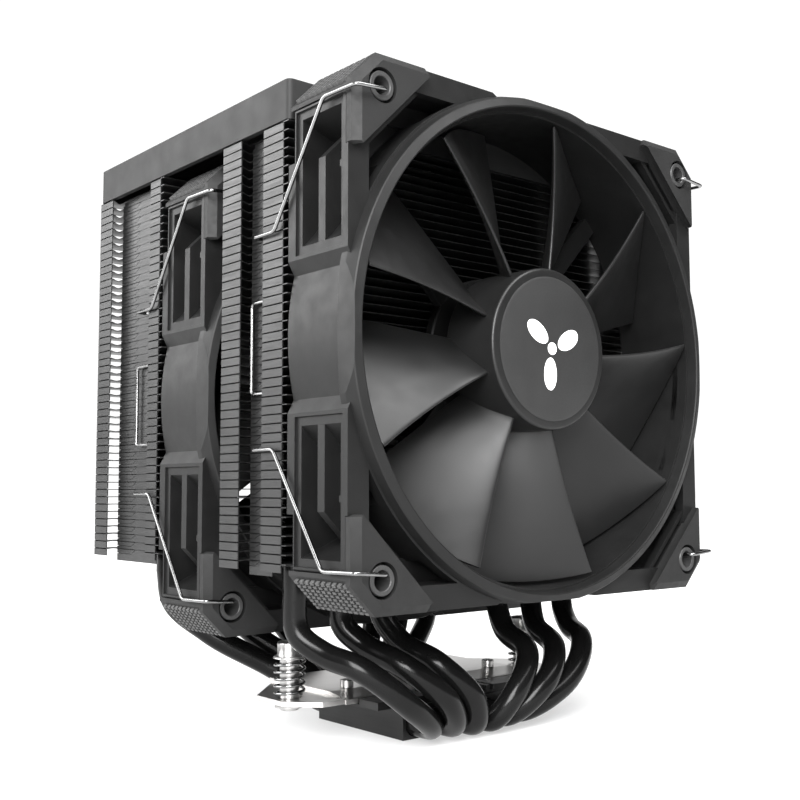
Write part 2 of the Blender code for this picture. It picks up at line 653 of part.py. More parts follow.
def rotor(fan, finish, axis):
    """The hub cup with nine swept blades."""
    profile = depths([(0, 0.6), (18.2, 0.6), (20.3, 2.4), (20.3, 16.2), (18.8, 16.2), (18.8, 2.9),
                      (3, 2.9), (3, 5.6), (1.8, 5.6), (1.8, 2.2), (0, 2.2)])
    hub = face_front(turned(f"{fan}_rotor", profile, False, 28, finish, axis))
    bm = bmesh.new()
    for index in range(BLADES):
        start = len(bm.verts)
        bmesh.ops.create_grid(bm, x_segments=3, y_segments=3, size=0.5)
        bm.verts.ensure_lookup_table()
        for vert in bm.verts[start:]:
            vert.co = blade_point(index, vert.co.x + 0.5, vert.co.y + 0.5)
    bmesh.ops.recalc_face_normals(bm, faces=bm.faces)
    blades = bpy.data.meshes.new("blades")
    bm.to_mesh(blades)
    bm.free()
    blade_set = add(f"{fan}_blades", blades, parent=axis, cutter=True)
    thick = blade_set.modifiers.new("thickness", "SOLIDIFY")
    thick.thickness = 1.2 * MM
    thick.offset = 0
    boolean(hub, blade_set, "UNION")
    smooth(hub)


def fan_pieces(fan, centre, looks):
    """Everything in one fan, placed about its centre."""
    axis = empty(f"{fan}_fan_axis", centre)
    fan_frame(fan, looks["plastic"], axis)
    rubber_corners(fan, looks["rubber"], axis)
    rotor(fan, looks["rotor"], axis)
    turned_pieces = {
        "hub_disc": ([(0, 0.05), (17.4, 0.05), (17.4, 0.35), (0, 0.35)], False, looks["disc"], 24),
        "magnet_ring": ([(18.5, 3.4), (18.5, 15.4), (17, 15.4), (17, 3.4)], True, looks["magnet"], 24),
        "rotor_shaft": ([(0, 2.5), (1.5, 2.5), (1.5, 20.6), (0, 20.6)], False, looks["steel"], 12),
        "bearing_sleeve": ([(3.6, 6.4), (3.6, 21), (1.8, 21), (1.8, 6.4)], True, looks["bronze"], 12),
        "circuit_board": ([(15.5, 17.6), (15.5, 18.8), (5.4, 18.8), (5.4, 17.6)], True, looks["board"], 16),
    }
    for piece, (profile, closed, finish, segments) in turned_pieces.items():
        smooth(face_front(turned(f"{fan}_fan_{piece}", depths(profile), closed, segments, finish, axis)))
    stator(fan, looks["copper"], axis)
    for side in ("left", "right"):
        wire_clip(fan, side, looks["wire"], axis)


def stator(fan, finish, axis):
    """The wound core: four wide poles around a ring."""
    poles = 4
    outline = []
    for pole in range(poles):
        middle = math.tau * pole / poles
        for radius, offset in ((9, -32), (16.2, -34), (16.2, -17), (16.2, 0), (16.2, 17), (16.2, 34), (9, 32)):
            angle = middle + math.radians(offset)
            outline.append((radius * MM * math.cos(angle), radius * MM * math.sin(angle)))
    name = f"{fan}_fan_stator"
    mesh = outline_mesh(name, [outline, ring(5.4 * MM, 16)], 6.2 * MM, 14.6 * MM, "XZ")
    add(name, mesh, finish, axis)


def wire_clip(fan, side, finish, axis):
    """A bent wire that holds a fan on its tower: an eye end in each corner hole, and a finger loop."""
    sign = 1 if side == "right" else -1
    half = [(52.5, 1.9, 51.2), (52.5, -0.9, 51.2), (53.1, -1.5, 51.1), (60.3, -1.5, 50.5), (61, -0.8, 50.5),
            (61, 9.3, 50.8), (61, 10.3, 50), (61, 27.8, 25.4), (61, 28.9, 24.7), (61, 35.7, 24.7),
            (60.4, 36.4, 24.7), (58.9, 36.4, 24.5), (58.3, 36.4, 23.9), (58.3, 36.4, 11)]
    loop = [(58.3, 37, 10.3), (58.3, 40.6, 10.3), (58.3, 41.2, 9.7), (58.3, 41.2, -10.8), (58.3, 40.6, -11.4),
            (58.3, 37, -11.4), (58.3, 36.4, -12)]
    lower = [(x, y, -z) for x, y, z in reversed(half[:-1])]
    path = [(sign * x * MM, y * MM, z * MM) for x, y, z in half + loop + lower]
    tube(f"{fan}_fan_{side}_wire_clip", path, 0.6 * MM, finish, rounds=1, parent=axis,
         location=(sign * SCREW_HOLE_PLACE, 0, 0))


def build():
    """Make every piece."""
    start_scene()
    looks = {
        "fins": material("black_fins", (0.03, 0.03, 0.032), 0.45, 0.6),
        "cover": material("satin_black", (0.045, 0.045, 0.048), 0.4, 0.3),
        "pipes": material("gloss_black", (0.01, 0.01, 0.01), 0.15, 0.5),
        "base": material("black_base", (0.02, 0.02, 0.021), 0.4, 0.5),
        "steel": material("bright_steel", (0.75, 0.74, 0.72), 0.2, 1.0),
        "wire": material("wire_steel", (0.8, 0.8, 0.8), 0.15, 1.0),
        "plastic": material("frame_plastic", (0.03, 0.03, 0.032), 0.5, 0),
        "rubber": material("corner_rubber", (0.04, 0.04, 0.042), 0.7, 0),
        "rotor": material("rotor_plastic", (0.035, 0.035, 0.037), 0.4, 0),
        "disc": material("disc_print", (0.06, 0.06, 0.063), 0.5, 0),
        "magnet": material("magnet", (0.1, 0.1, 0.1), 0.6, 0.2),
        "bronze": material("bronze", (0.6, 0.42, 0.2), 0.35, 1.0),
        "board": material("board", (0.02, 0.12, 0.05), 0.5, 0),
        "copper": material("copper", (0.7, 0.35, 0.18), 0.4, 1.0),
    }
    top_cover(looks["cover"])
    towers(looks["fins"])
    base_block(looks["base"])
    top_plate(looks["base"])
    crossbar(looks["steel"])
    for side in ("left", "right"):
        for place in PIPES:
            heat_pipe(side, place, looks["pipes"])
        fixing_screw(side, looks["steel"])
        spring_screw(side, looks["steel"], looks["wire"])
    fan_pieces("front", FRONT_FAN, looks)
    fan_pieces("middle", MIDDLE_FAN, looks)


build()
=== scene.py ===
"""The looks of a twin-tower CPU cooler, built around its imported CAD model.

Shapes are drawn in millimetres and scaled to metres. Fan pieces are drawn about the fan's centre:
x to the right, z up, and "depth" along +Y from the front face of the rubber corners.
"""
import math

import bmesh
import bpy
from mathutils import Matrix, Vector
from mathutils.geometry import interpolate_bezier


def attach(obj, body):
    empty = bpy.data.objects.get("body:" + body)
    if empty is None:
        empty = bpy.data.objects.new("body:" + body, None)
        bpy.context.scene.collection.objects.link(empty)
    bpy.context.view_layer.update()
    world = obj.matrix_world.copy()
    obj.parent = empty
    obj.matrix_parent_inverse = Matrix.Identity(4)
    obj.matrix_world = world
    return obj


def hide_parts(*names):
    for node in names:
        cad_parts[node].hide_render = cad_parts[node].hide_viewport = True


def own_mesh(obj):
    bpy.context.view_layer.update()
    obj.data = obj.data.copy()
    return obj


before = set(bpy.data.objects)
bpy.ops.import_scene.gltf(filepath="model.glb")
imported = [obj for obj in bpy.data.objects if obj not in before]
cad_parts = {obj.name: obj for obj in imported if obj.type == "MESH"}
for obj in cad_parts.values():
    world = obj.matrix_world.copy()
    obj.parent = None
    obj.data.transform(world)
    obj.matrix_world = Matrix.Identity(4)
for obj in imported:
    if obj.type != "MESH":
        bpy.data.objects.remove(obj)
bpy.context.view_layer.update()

MM = 0.001
SIDES = (("left", -1), ("right", 1))

# Towers: fins with folded flanges at their sides and folded tabs in their side recesses (notches).
# A stack's places are along Y. Zip is the step in its tabs, and sweep is how far the notch's rear
# wall leans back on its way in.
HALF_WIDTH = 60.0
FIN_TOP = 145.2
FIN_BOTTOM = 43.0
FINS = 49
FIN_PITCH = (FIN_TOP - FIN_BOTTOM) / FINS
FIN_THICKNESS = 0.2
FOLD = 0.3
FLANGE_GAP = 0.12
NOTCH = 3.5
TAB_DROP, TAB_RISE, TAB_INSET = 1.4, 1.3, 0.5
FRONT_STACK = {"front": -25.9, "flange": -23.9, "notch": (-15.7, -5.9), "rear": 2.4,
               "sweep": 1.6, "zip": -9.1}
REAR_STACK = {"front": 33.1, "flange": 35.0, "notch": (40.6, 64.1), "rear": 71.9,
              "sweep": 2.6, "zip": 54.4}
COVER_BOTTOM, COVER_TOP = 145.5, 155.0

# Heat pipes: the same route as the CAD pipes. Dips are the two ends of the level run, along Y.
PIPE_RADIUS = 3.0
PIPE_HEIGHT = 3.65
FRONT_LEG_Y = -10.6
PIPES = {
    "outer": {"base_x": 15.5, "tower_x": 47.1, "rear_y": 52.4, "dips": (-22.7, 22),
              "front": ((46.2, -11.4, 27.2), (43, -16.6, 23.1), (39.1, -24.4, 20.5), (26.3, -29.4, 10.2)),
              "rear": ((24.8, 30.4, 11.9), (40.5, 41.4, 22.6), (46.5, 50.6, 30.9))},
    "middle": {"base_x": 9.4, "tower_x": 33.8, "rear_y": 49.4, "dips": (-24.4, 24.4),
               "front": ((33, -11.6, 28), (30.3, -15.3, 24.2), (26, -26.3, 19.5), (17.4, -30.9, 11.8)),
               "rear": ((16, 30.8, 11.9), (27.6, 40.2, 22), (33.5, 47.7, 30.6))},
    "inner": {"base_x": 3.3, "tower_x": 19.7, "rear_y": 46.4, "dips": (-26, 27.8),
              "front": ((20.5, -10.2, 31), (18.5, -14.9, 24.1), (15.5, -26.4, 19.1), (7, -29.9, 10)),
              "rear": ((7.6, 32, 9.4), (15.4, 38.4, 20.5), (19.5, 44.6, 30.3))},
}

# Base, crossbar and its screws
BLOCK = (19.5, 17.6, 8.05)
PLATE_LOW, PLATE_TOP = 8.35, 10.3
BAR_LOW, BAR_THICK = 10.25, 1.2
BAR_TOP = BAR_LOW + BAR_THICK
BAR_FRONT, BAR_BEND, BAR_REAR = -10.6, -3.7, 23.2
LUG_LOW = BAR_LOW - 0.9
LUG_TOP = LUG_LOW + BAR_THICK
SMALL_SCREW = (25, -2)
SCREW = (41.0, 0.2)
HEAD_TOP = 24.2
SCREW_END = 7.7

# Fans: FANS holds their centres, and x + z is CHAMFER_SUM on the chamfer of a corner.
FANS = {"front": Vector((0, -50.6, 95.2)), "middle": Vector((0, 8.4, 85.2))}
DUCT = 57.3
DUCT_OUTER = 60.0
LIP_OUTER = 61.6
HOLE = 52.5
HOLES = [(x, z) for x in (-HOLE, HOLE) for z in (-HOLE, HOLE)]
CHAMFER_SUM = 113.4
FIRST_BLADE = 6.1
BLADES = 9
BLADE_ROOT, BLADE_TIP = 18.9, 56.3
WIRE_TUCK = {"front": 35.9, "middle": 33.2}
WIRE_RADIUS, WIRE_BEND = 0.45, 1.1

# Camera: its place, and its yaw, pitch and roll in degrees.
CAMERA_PLACE = (-195.96, -227.08, 61.45)
CAMERA_ANGLES = (39.99, 4.69, -0.13)
CAMERA_LENS = 49.16


# Mesh tools ---------------------------------------------------------------------------------------

def to_mesh(bm, name="shape"):
    """A mesh in metres from a bmesh drawn in millimetres."""
    bmesh.ops.scale(bm, vec=(MM, MM, MM), verts=bm.verts)
    mesh = bpy.data.meshes.new(name)
    bm.to_mesh(mesh)
    bm.free()
    return mesh


def merged(meshes):
    """One mesh that holds all of these, as separate shells."""
    bm = bmesh.new()
    for mesh in meshes:
        bm.from_mesh(mesh)
    mesh = bpy.data.meshes.new("merged")
    bm.to_mesh(mesh)
    bm.free()
    return mesh


def evaluated(obj):
    """The mesh of an object with its modifiers, and the object removed."""
    bpy.context.view_layer.update()
    mesh = bpy.data.meshes.new_from_object(obj.evaluated_get(bpy.context.evaluated_depsgraph_get()))
    bpy.data.objects.remove(obj, do_unlink=True)
    return mesh


def loose(mesh):
    """A temporary object for a mesh."""
    obj = bpy.data.objects.new("loose", mesh)
    bpy.context.scene.collection.objects.link(obj)
    return obj


def boolean(mesh, other, operation="DIFFERENCE"):
    """Cut, join or intersect two meshes."""
    first, second = loose(mesh), loose(other)
    modifier = first.modifiers.new("boolean", "BOOLEAN")
    modifier.operation = operation
    modifier.object = second
    result = evaluated(first)
    bpy.data.objects.remove(second, do_unlink=True)
    return result


PLANES = {
    "XY": ((1, 0, 0), (0, 1, 0), (0, 0, 1)),
    "XZ": ((1, 0, 0), (0, 0, -1), (0, 1, 0)),
    "YZ": ((0, 0, 1), (1, 0, 0), (0, 1, 0)),
}


def prism(loops, low, high, plane="XY"):
    """Flat outlines (later loops are holes) made solid between two heights along the third axis."""
    curve = bpy.data.curves.new("outline", "CURVE")
    curve.dimensions = "2D"
    curve.fill_mode = "BOTH"
    curve.extrude = (high - low) / 2
    for loop in loops:
        spline = curve.splines.new("POLY")
        spline.points.add(len(loop) - 1)
        spline.use_cyclic_u = True
        for point, (u, v) in zip(spline.points, loop):
            point.co = (u, v, 0, 1)
    bm = bmesh.new()
    bm.from_mesh(evaluated(loose(curve)))
    middle = Vector((0, 0, (low + high) / 2))
    place = Matrix(PLANES[plane]).to_4x4() @ Matrix.Translation(middle)
    if plane == "XZ":
        place = Matrix.Translation((0, low + high, 0)) @ place
    bmesh.ops.transform(bm, matrix=place, verts=bm.verts)
    bmesh.ops.remove_doubles(bm, verts=bm.verts, dist=0.002)
    bmesh.ops.dissolve_limit(bm, angle_limit=math.radians(0.5), verts=bm.verts, edges=bm.edges)
    return to_mesh(bm)


def boxes(corners):
    """Boxes given by their low and high corners."""
    bm = bmesh.new()
    for low, high in corners:
        low, high = Vector(low), Vector(high)
        place = Matrix.Translation((low + high) / 2) @ Matrix.Diagonal((*(high - low), 1))
        bmesh.ops.create_cube(bm, size=1, matrix=place)
    return to_mesh(bm)


def rods(items, segments):
    """Round rods, each (start, end, radius)."""
    bm = bmesh.new()
    for start, end, radius in items:
        start, end = Vector(start), Vector(end)
        along = end - start
        turn = Vector((0, 0, 1)).rotation_difference(along).to_matrix().to_4x4()
        bmesh.ops.create_cone(bm, cap_ends=True, segments=segments, radius1=radius, radius2=radius,
                              depth=along.length, matrix=Matrix.Translation((start + end) / 2) @ turn)
    return to_mesh(bm)


def lathe(profile, segments=64, closed=False, axis="Z", centre=(0, 0, 0)):
    """A profile of (radius, height) spun about Z, or of (radius, depth) spun about a fan's axis."""
    bm = bmesh.new()
    verts = [bm.verts.new((radius, 0, height)) for radius, height in profile]
    edges = [bm.edges.new(pair) for pair in zip(verts, verts[1:])]
    if closed:
        edges.append(bm.edges.new((verts[-1], verts[0])))
    bmesh.ops.spin(bm, geom=verts + edges, cent=(0, 0, 0), axis=(0, 0, 1), angle=math.tau,
                   steps=segments)
    bmesh.ops.remove_doubles(bm, verts=bm.verts, dist=0.001)
    if axis == "Y":
        bmesh.ops.transform(bm, matrix=Matrix.Rotation(math.radians(-90), 4, "X"), verts=bm.verts)
    bmesh.ops.translate(bm, vec=centre, verts=bm.verts)
    bmesh.ops.recalc_face_normals(bm, faces=bm.faces)
    return to_mesh(bm)


def ring(radius, segments, centre=(0, 0)):
    """Points of a circle."""
    turn = math.tau / segments
    return [(centre[0] + radius * math.cos(turn * i), centre[1] + radius * math.sin(turn * i))
            for i in range(segments)]


def arc(radius, start, end, steps, centre=(0, 0)):
    """Points of an arc between two angles in degrees."""
    points = []
    for step in range(steps + 1):
        angle = math.radians(start + (end - start) * step / steps)
        points.append((centre[0] + radius * math.cos(angle), centre[1] + radius * math.sin(angle)))
    return points


def quarter_turns(points):
    """An outline at each of the four sides or corners of a fan."""
    return [[(x * c - z * s, x * s + z * c) for x, z in points]
            for c, s in ((1, 0), (0, 1), (-1, 0), (0, -1))]


def both_ways(points):
    """An outline and its mirror image at each of the four corners of a fan."""
    return quarter_turns(points) + quarter_turns([(x, -z) for x, z in points])


def smooth_path(points, steps):
    """Points along a smooth curve through the given ones."""
    points = [Vector(point) for point in points]
    lengths = [(b - a).length for a, b in zip(points, points[1:])]
    tangents = [(points[1] - points[0]) / lengths[0]]
    for before, here, after, back, ahead in zip(points, points[1:], points[2:], lengths, lengths[1:]):
        tangents.append((here - before) * ahead / (back * (back + ahead))
                        + (after - here) * back / (ahead * (back + ahead)))
    tangents.append((points[-1] - points[-2]) / lengths[-1])
    path = []
    for index, length in enumerate(lengths):
        start, end = points[index], points[index + 1]
        handle = length / 3
        path += interpolate_bezier(start, start + tangents[index] * handle,
                                   end - tangents[index + 1] * handle, end, steps + 1)[:-1]
    return path + [points[-1]]


def rounded_path(points, radius, steps=6):
    """A bent wire's route: straight runs with each corner rounded."""
    points = [Vector(point) for point in points]
    path = [points[0]]
    for before, corner, after in zip(points, points[1:], points[2:]):
        back, ahead = before - corner, after - corner
        reach = min(radius, back.length * 0.48, ahead.length * 0.48)
        start = corner + back.normalized() * reach
        end = corner + ahead.normalized() * reach
        path += interpolate_bezier(start, start.lerp(corner, 0.6), end.lerp(corner, 0.6), end, steps)
    return path + [points[-1]]


def tube(points, radius, rounds):
    """A round tube along points, as a mesh with closed ends."""
    curve = bpy.data.curves.new("tube", "CURVE")
    curve.dimensions = "3D"
    curve.bevel_depth = radius
    curve.bevel_resolution = rounds
    curve.use_fill_caps = True
    spline = curve.splines.new("POLY")
    spline.points.add(len(points) - 1)
    for point, place in zip(spline.points, points):
        point.co = (*place, 1)
    bm = bmesh.new()
    bm.from_mesh(evaluated(loose(curve)))
    bmesh.ops.remove_doubles(bm, verts=bm.verts, dist=0.001)
    return to_mesh(bm)


def piece(name, mesh, look, body, stands_for=(), centre=(0, 0, 0), bevel=0.0, angle=35):
    """A finished piece: named, shaded, given its material and set on its body."""
    mesh.name = name
    obj = bpy.data.objects.new(name, mesh)
    bpy.context.scene.collection.objects.link(obj)
    obj.location = Vector(centre) * MM
    mesh.materials.clear()
    mesh.materials.append(look)
    for polygon in mesh.polygons:
        polygon.material_index = 0
    if bevel:
        edge = obj.modifiers.new("edge", "BEVEL")
        edge.width = bevel * MM
        edge.segments = 2
        edge.limit_method = "ANGLE"
        edge.angle_limit = math.radians(40)
    mesh.shade_smooth()
    mesh.set_sharp_from_angle(angle=math.radians(angle))
    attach(obj, body)
    if stands_for:
        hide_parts(*stands_for)
    return obj


# Materials ----------------------------------------------------------------------------------------

class Look:
    """A node material built step by step around a Principled shader."""

    def __init__(self, name, roughness, metallic, **settings):
        self.material = bpy.data.materials.new(name)
        self.material.use_nodes = True
        self.nodes = self.material.node_tree.nodes
        self.links = self.material.node_tree.links
        self.shader = self.nodes["Principled BSDF"]
        self.shader.inputs["Roughness"].default_value = roughness
        self.shader.inputs["Metallic"].default_value = metallic
        for key, value in settings.items():
            self.shader.inputs[key.replace("_", " ")].default_value = value
        self.place = self.nodes.new("ShaderNodeTexCoord").outputs["Object"]

    def stretched(self, scale):
        """Object coordinates, stretched along each axis."""
        mapping = self.nodes.new("ShaderNodeMapping")
        mapping.inputs["Scale"].default_value = scale
        self.links.new(self.place, mapping.inputs["Vector"])
        return mapping.outputs["Vector"]

    def noise(self, size_mm, detail, stretch=(1, 1, 1)):
        """Noise whose features are about size_mm across."""
        node = self.nodes.new("ShaderNodeTexNoise")
        node.inputs["Scale"].default_value = 1 / (size_mm * MM)
        node.inputs["Detail"].default_value = detail
        node.inputs["Roughness"].default_value = 0.55
        self.links.new(self.stretched(stretch), node.inputs["Vector"])
        return node.outputs["Fac"]

    def spread(self, value, low, high, edges=(0.3, 0.7)):
        """A value spread between two numbers."""
        node = self.nodes.new("ShaderNodeMapRange")
        node.inputs["From Min"].default_value = edges[0]
        node.inputs["From Max"].default_value = edges[1]
        node.inputs["To Min"].default_value = low
        node.inputs["To Max"].default_value = high
        self.links.new(value, node.inputs["Value"])
        return node.outputs["Result"]

    def colour(self, value, dark, light, edges=(0.3, 0.7)):
        """The base colour runs between two colours with a value."""
        ramp = self.nodes.new("ShaderNodeValToRGB")
        ramp.color_ramp.elements[0].position = edges[0]
        ramp.color_ramp.elements[1].position = edges[1]
        ramp.color_ramp.elements[0].color = (*dark, 1)
        ramp.color_ramp.elements[1].color = (*light, 1)
        self.links.new(value, ramp.inputs["Fac"])
        self.links.new(ramp.outputs["Color"], self.shader.inputs["Base Color"])
        return self

    def gloss(self, value, low, high):
        """Roughness runs between two numbers with a value."""
        self.links.new(self.spread(value, low, high), self.shader.inputs["Roughness"])
        return self

    def bump(self, value, height_mm):
        """Small relief, a given height deep."""
        node = self.nodes.new("ShaderNodeBump")
        node.inputs["Strength"].default_value = 1
        node.inputs["Distance"].default_value = height_mm * MM
        self.links.new(value, node.inputs["Height"])
        self.links.new(node.outputs["Normal"], self.shader.inputs["Normal"])
        return self


def grey(value):
    """A neutral grey."""
    return (value, value, value)


def make_looks():
    """Every material, by name."""
    looks = {}
    cover = Look("satin_black_cover", 0.58, 0.04, Specular_IOR_Level=0.2)
    grain = cover.noise(0.35, 2)
    cover.colour(cover.noise(30, 3), grey(0.01), grey(0.013)).gloss(cover.noise(6, 4), 0.54, 0.64)
    looks["cover"] = cover.bump(grain, 0.008)

    fins = Look("black_fin_metal", 0.42, 0.75)
    rolled = fins.noise(1.2, 3, stretch=(0.15, 0.15, 2.5))
    fins.colour(fins.noise(9, 4), grey(0.03), grey(0.04)).gloss(rolled, 0.36, 0.5)
    looks["fins"] = fins.bump(rolled, 0.01)

    pipes = Look("black_nickel_pipe", 0.2, 0.0, Specular_IOR_Level=0.15)
    pipes.colour(pipes.noise(12, 3), grey(0.003), grey(0.005)).gloss(pipes.noise(3, 4), 0.17, 0.25)
    looks["pipes"] = pipes.bump(pipes.noise(2.5, 3), 0.01)

    base = Look("black_base_metal", 0.42, 0.4)
    milled = base.noise(0.5, 2, stretch=(1, 0.06, 1))
    base.colour(base.noise(7, 3), grey(0.005), grey(0.009)).gloss(milled, 0.38, 0.5)
    looks["base"] = base.bump(milled, 0.012)

    steel = Look("bright_steel", 0.2, 1.0)
    brushed = steel.noise(0.7, 3, stretch=(0.05, 1, 1))
    steel.colour(steel.noise(8, 4), (0.5, 0.49, 0.48), (0.54, 0.53, 0.52)).gloss(brushed, 0.3, 0.34)
    looks["steel"] = steel.bump(brushed, 0.0006)

    screw = Look("turned_steel", 0.18, 1.0)
    turned = screw.noise(0.4, 3, stretch=(0.2, 0.2, 3))
    screw.colour(screw.noise(2, 3), (0.36, 0.355, 0.35), (0.42, 0.415, 0.41)).gloss(turned, 0.3, 0.36)
    looks["screw"] = screw.bump(turned, 0.004)

    wire = Look("wire_steel", 0.16, 1.0)
    drawn = wire.noise(0.5, 3)
    wire.colour(wire.noise(4, 3), grey(0.17), grey(0.24)).gloss(drawn, 0.14, 0.26)
    looks["wire"] = wire.bump(drawn, 0.003)

    plastic = Look("frame_plastic", 0.45, 0.0, Specular_IOR_Level=0.2)
    sparks = plastic.noise(0.28, 2)
    plastic.colour(plastic.noise(14, 3), grey(0.0045), grey(0.0065))
    plastic.gloss(plastic.noise(4, 4), 0.42, 0.54)
    looks["plastic"] = plastic.bump(sparks, 0.012)

    boss = Look("boss_plastic", 0.4, 0.0, Specular_IOR_Level=0.3)
    boss.colour(boss.noise(5, 3), grey(0.024), grey(0.03)).gloss(boss.noise(2, 3), 0.35, 0.45)
    looks["boss"] = boss.bump(boss.noise(0.3, 2), 0.008)

    rubber = Look("corner_rubber", 0.6, 0.0, Specular_IOR_Level=0.22)
    skin = rubber.noise(0.4, 3)
    rubber.colour(rubber.noise(9, 3), grey(0.008), grey(0.011)).gloss(rubber.noise(2, 4), 0.54, 0.68)
    looks["rubber"] = rubber.bump(skin, 0.016)

    knurl = Look("knurled_rubber", 0.5, 0.0, Specular_IOR_Level=0.35)
    knurl.colour(knurl.noise(1.2, 3), grey(0.035), grey(0.05)).gloss(knurl.noise(0.8, 3), 0.42, 0.58)
    looks["knurl"] = knurl.bump(knurl.noise(0.25, 2), 0.01)

    blades = Look("blade_plastic", 0.36, 0.0, Specular_IOR_Level=0.26)
    blades.colour(blades.noise(18, 3), grey(0.006), grey(0.008)).gloss(blades.noise(6, 4), 0.32, 0.42)
    looks["blades"] = blades.bump(blades.noise(0.35, 2), 0.006)

    disc = Look("hub_disc", 0.5, 0.0, Specular_IOR_Level=0.3)
    turned = disc.noise(0.5, 2)
    disc.colour(disc.noise(6, 3), grey(0.012), grey(0.015)).gloss(turned, 0.46, 0.56)
    looks["disc"] = disc.bump(turned, 0.004)

    mark = Look("white_print", 0.45, 0.0)
    mark.colour(mark.noise(1.5, 3), grey(0.84), grey(0.9)).gloss(mark.noise(0.6, 2), 0.4, 0.5)
    looks["mark"] = mark

    magnet = Look("magnet", 0.55, 0.3)
    magnet.colour(magnet.noise(0.8, 4), grey(0.07), grey(0.11)).gloss(magnet.noise(0.5, 3), 0.5, 0.65)
    looks["magnet"] = magnet.bump(magnet.noise(0.3, 3), 0.02)

    bronze = Look("sintered_bronze", 0.4, 1.0)
    pores = bronze.noise(0.2, 4)
    bronze.colour(pores, (0.42, 0.28, 0.13), (0.62, 0.43, 0.21)).gloss(pores, 0.34, 0.5)
    looks["bronze"] = bronze.bump(pores, 0.02)

    copper = Look("copper_winding", 0.35, 1.0)
    strands = copper.noise(0.35, 2, stretch=(1, 0.05, 1))
    copper.colour(strands, (0.5, 0.2, 0.08), (0.75, 0.36, 0.18)).gloss(strands, 0.28, 0.42)
    looks["copper"] = copper.bump(strands, 0.12)

    board = Look("circuit_board", 0.42, 0.0)
    tracks = board.noise(1.6, 1)
    board.colour(tracks, (0.01, 0.07, 0.03), (0.02, 0.13, 0.06), (0.48, 0.52)).gloss(tracks, 0.36, 0.48)
    looks["board"] = board.bump(tracks, 0.03)
    return {name: look.material for name, look in looks.items()}


# Towers -------------------------------------------------------------------------------------------

def top_cover(look):
    """The tray over both towers."""
    low, high = (-HALF_WIDTH, FRONT_STACK["front"]), (HALF_WIDTH, REAR_STACK["rear"])
    radius, wall = 1.4, 1.5
    corners = [(high[0] - radius, high[1] - radius, 0), (low[0] + radius, high[1] - radius, 90),
               (low[0] + radius, low[1] + radius, 180), (high[0] - radius, low[1] + radius, 270)]
    outline = [point for x, y, start in corners for point in arc(radius, start, start + 90, 6, (x, y))]
    shell = prism([outline], COVER_BOTTOM, COVER_TOP)
    hollow = boxes([((low[0] + wall, low[1] + wall, COVER_BOTTOM - 2),
                     (high[0] - wall, high[1] - wall, COVER_TOP - wall))])
    piece("top_cover_shell", boolean(shell, hollow), look, "cooler", ["top_cover"],
          bevel=0.35)


def zipper_tab(front, step, rear, low, high):
    """A folded tab in a side recess, seen from the side: its long edges have an S-shaped step."""
    rise, half, steps = TAB_RISE, 1.1, 6
    soft = [(step + half * math.sin(math.pi * (i / steps - 0.5)), rise * (1 - i / steps))
            for i in range(steps + 1)]
    lower = [(front, low + rise)] + [(y, low + lift) for y, lift in soft] + [(rear, low)]
    upper = [(rear, high)] + [(y, high + lift) for y, lift in reversed(soft)] + [(front, high + rise)]
    return lower + upper


def side_recess(notch_front, notch_rear, shift):
    """The fin's edge round a side recess, whose rear wall runs inward in an S."""
    floor, steps = HALF_WIDTH - NOTCH, 8
    wall = []
    for i in range(steps + 1):
        swing = 0.5 - 0.5 * math.cos(math.pi * i / steps)
        wall.append((HALF_WIDTH - NOTCH * i / steps, notch_rear + shift * swing))
    return [(HALF_WIDTH, notch_front), (floor, notch_front + 0.3)] + wall[::-1]


def one_fin(stack, rows):
    """The top fin: its plate, side flanges, stepped tabs and the collars round the pipes."""
    front, flange, rear = stack["front"], stack["flange"], stack["rear"]
    notch_front, notch_rear = stack["notch"]
    floor = HALF_WIDTH - NOTCH
    recess = side_recess(notch_front, notch_rear, stack["sweep"])
    half = [(HALF_WIDTH, front)] + recess + [(HALF_WIDTH, rear)]
    outline = half + [(-x, y) for x, y in reversed(half)]
    shapes = [prism([outline], FIN_TOP - FIN_THICKNESS, FIN_TOP)]
    bottom = FIN_TOP - FIN_PITCH + FLANGE_GAP
    high = FIN_TOP - TAB_DROP
    tab = zipper_tab(notch_front + TAB_INSET, stack["zip"], notch_rear + 0.3,
                     high - FIN_PITCH + FLANGE_GAP, high)
    for side in (-1, 1):
        inner, outer = sorted((side * (HALF_WIDTH - FOLD), side * HALF_WIDTH))
        for start, end in ((flange, notch_front), (notch_rear, rear)):
            shapes.append(boxes([((inner, start, bottom), (outer, end, FIN_TOP))]))
        inner, outer = sorted((side * (floor - FOLD), side * floor))
        shapes.append(prism([tab], inner, outer, "YZ"))
    top, low, hole = FIN_TOP - FIN_THICKNESS, FIN_TOP - FIN_PITCH + 0.5, PIPE_RADIUS + 0.05
    collar = [(hole, top), (hole + 0.45, top), (hole + 0.37, low), (hole, low)]
    shapes += [lathe(collar, 20, True, centre=(x, y, 0)) for x, y in rows]
    return merged(shapes)


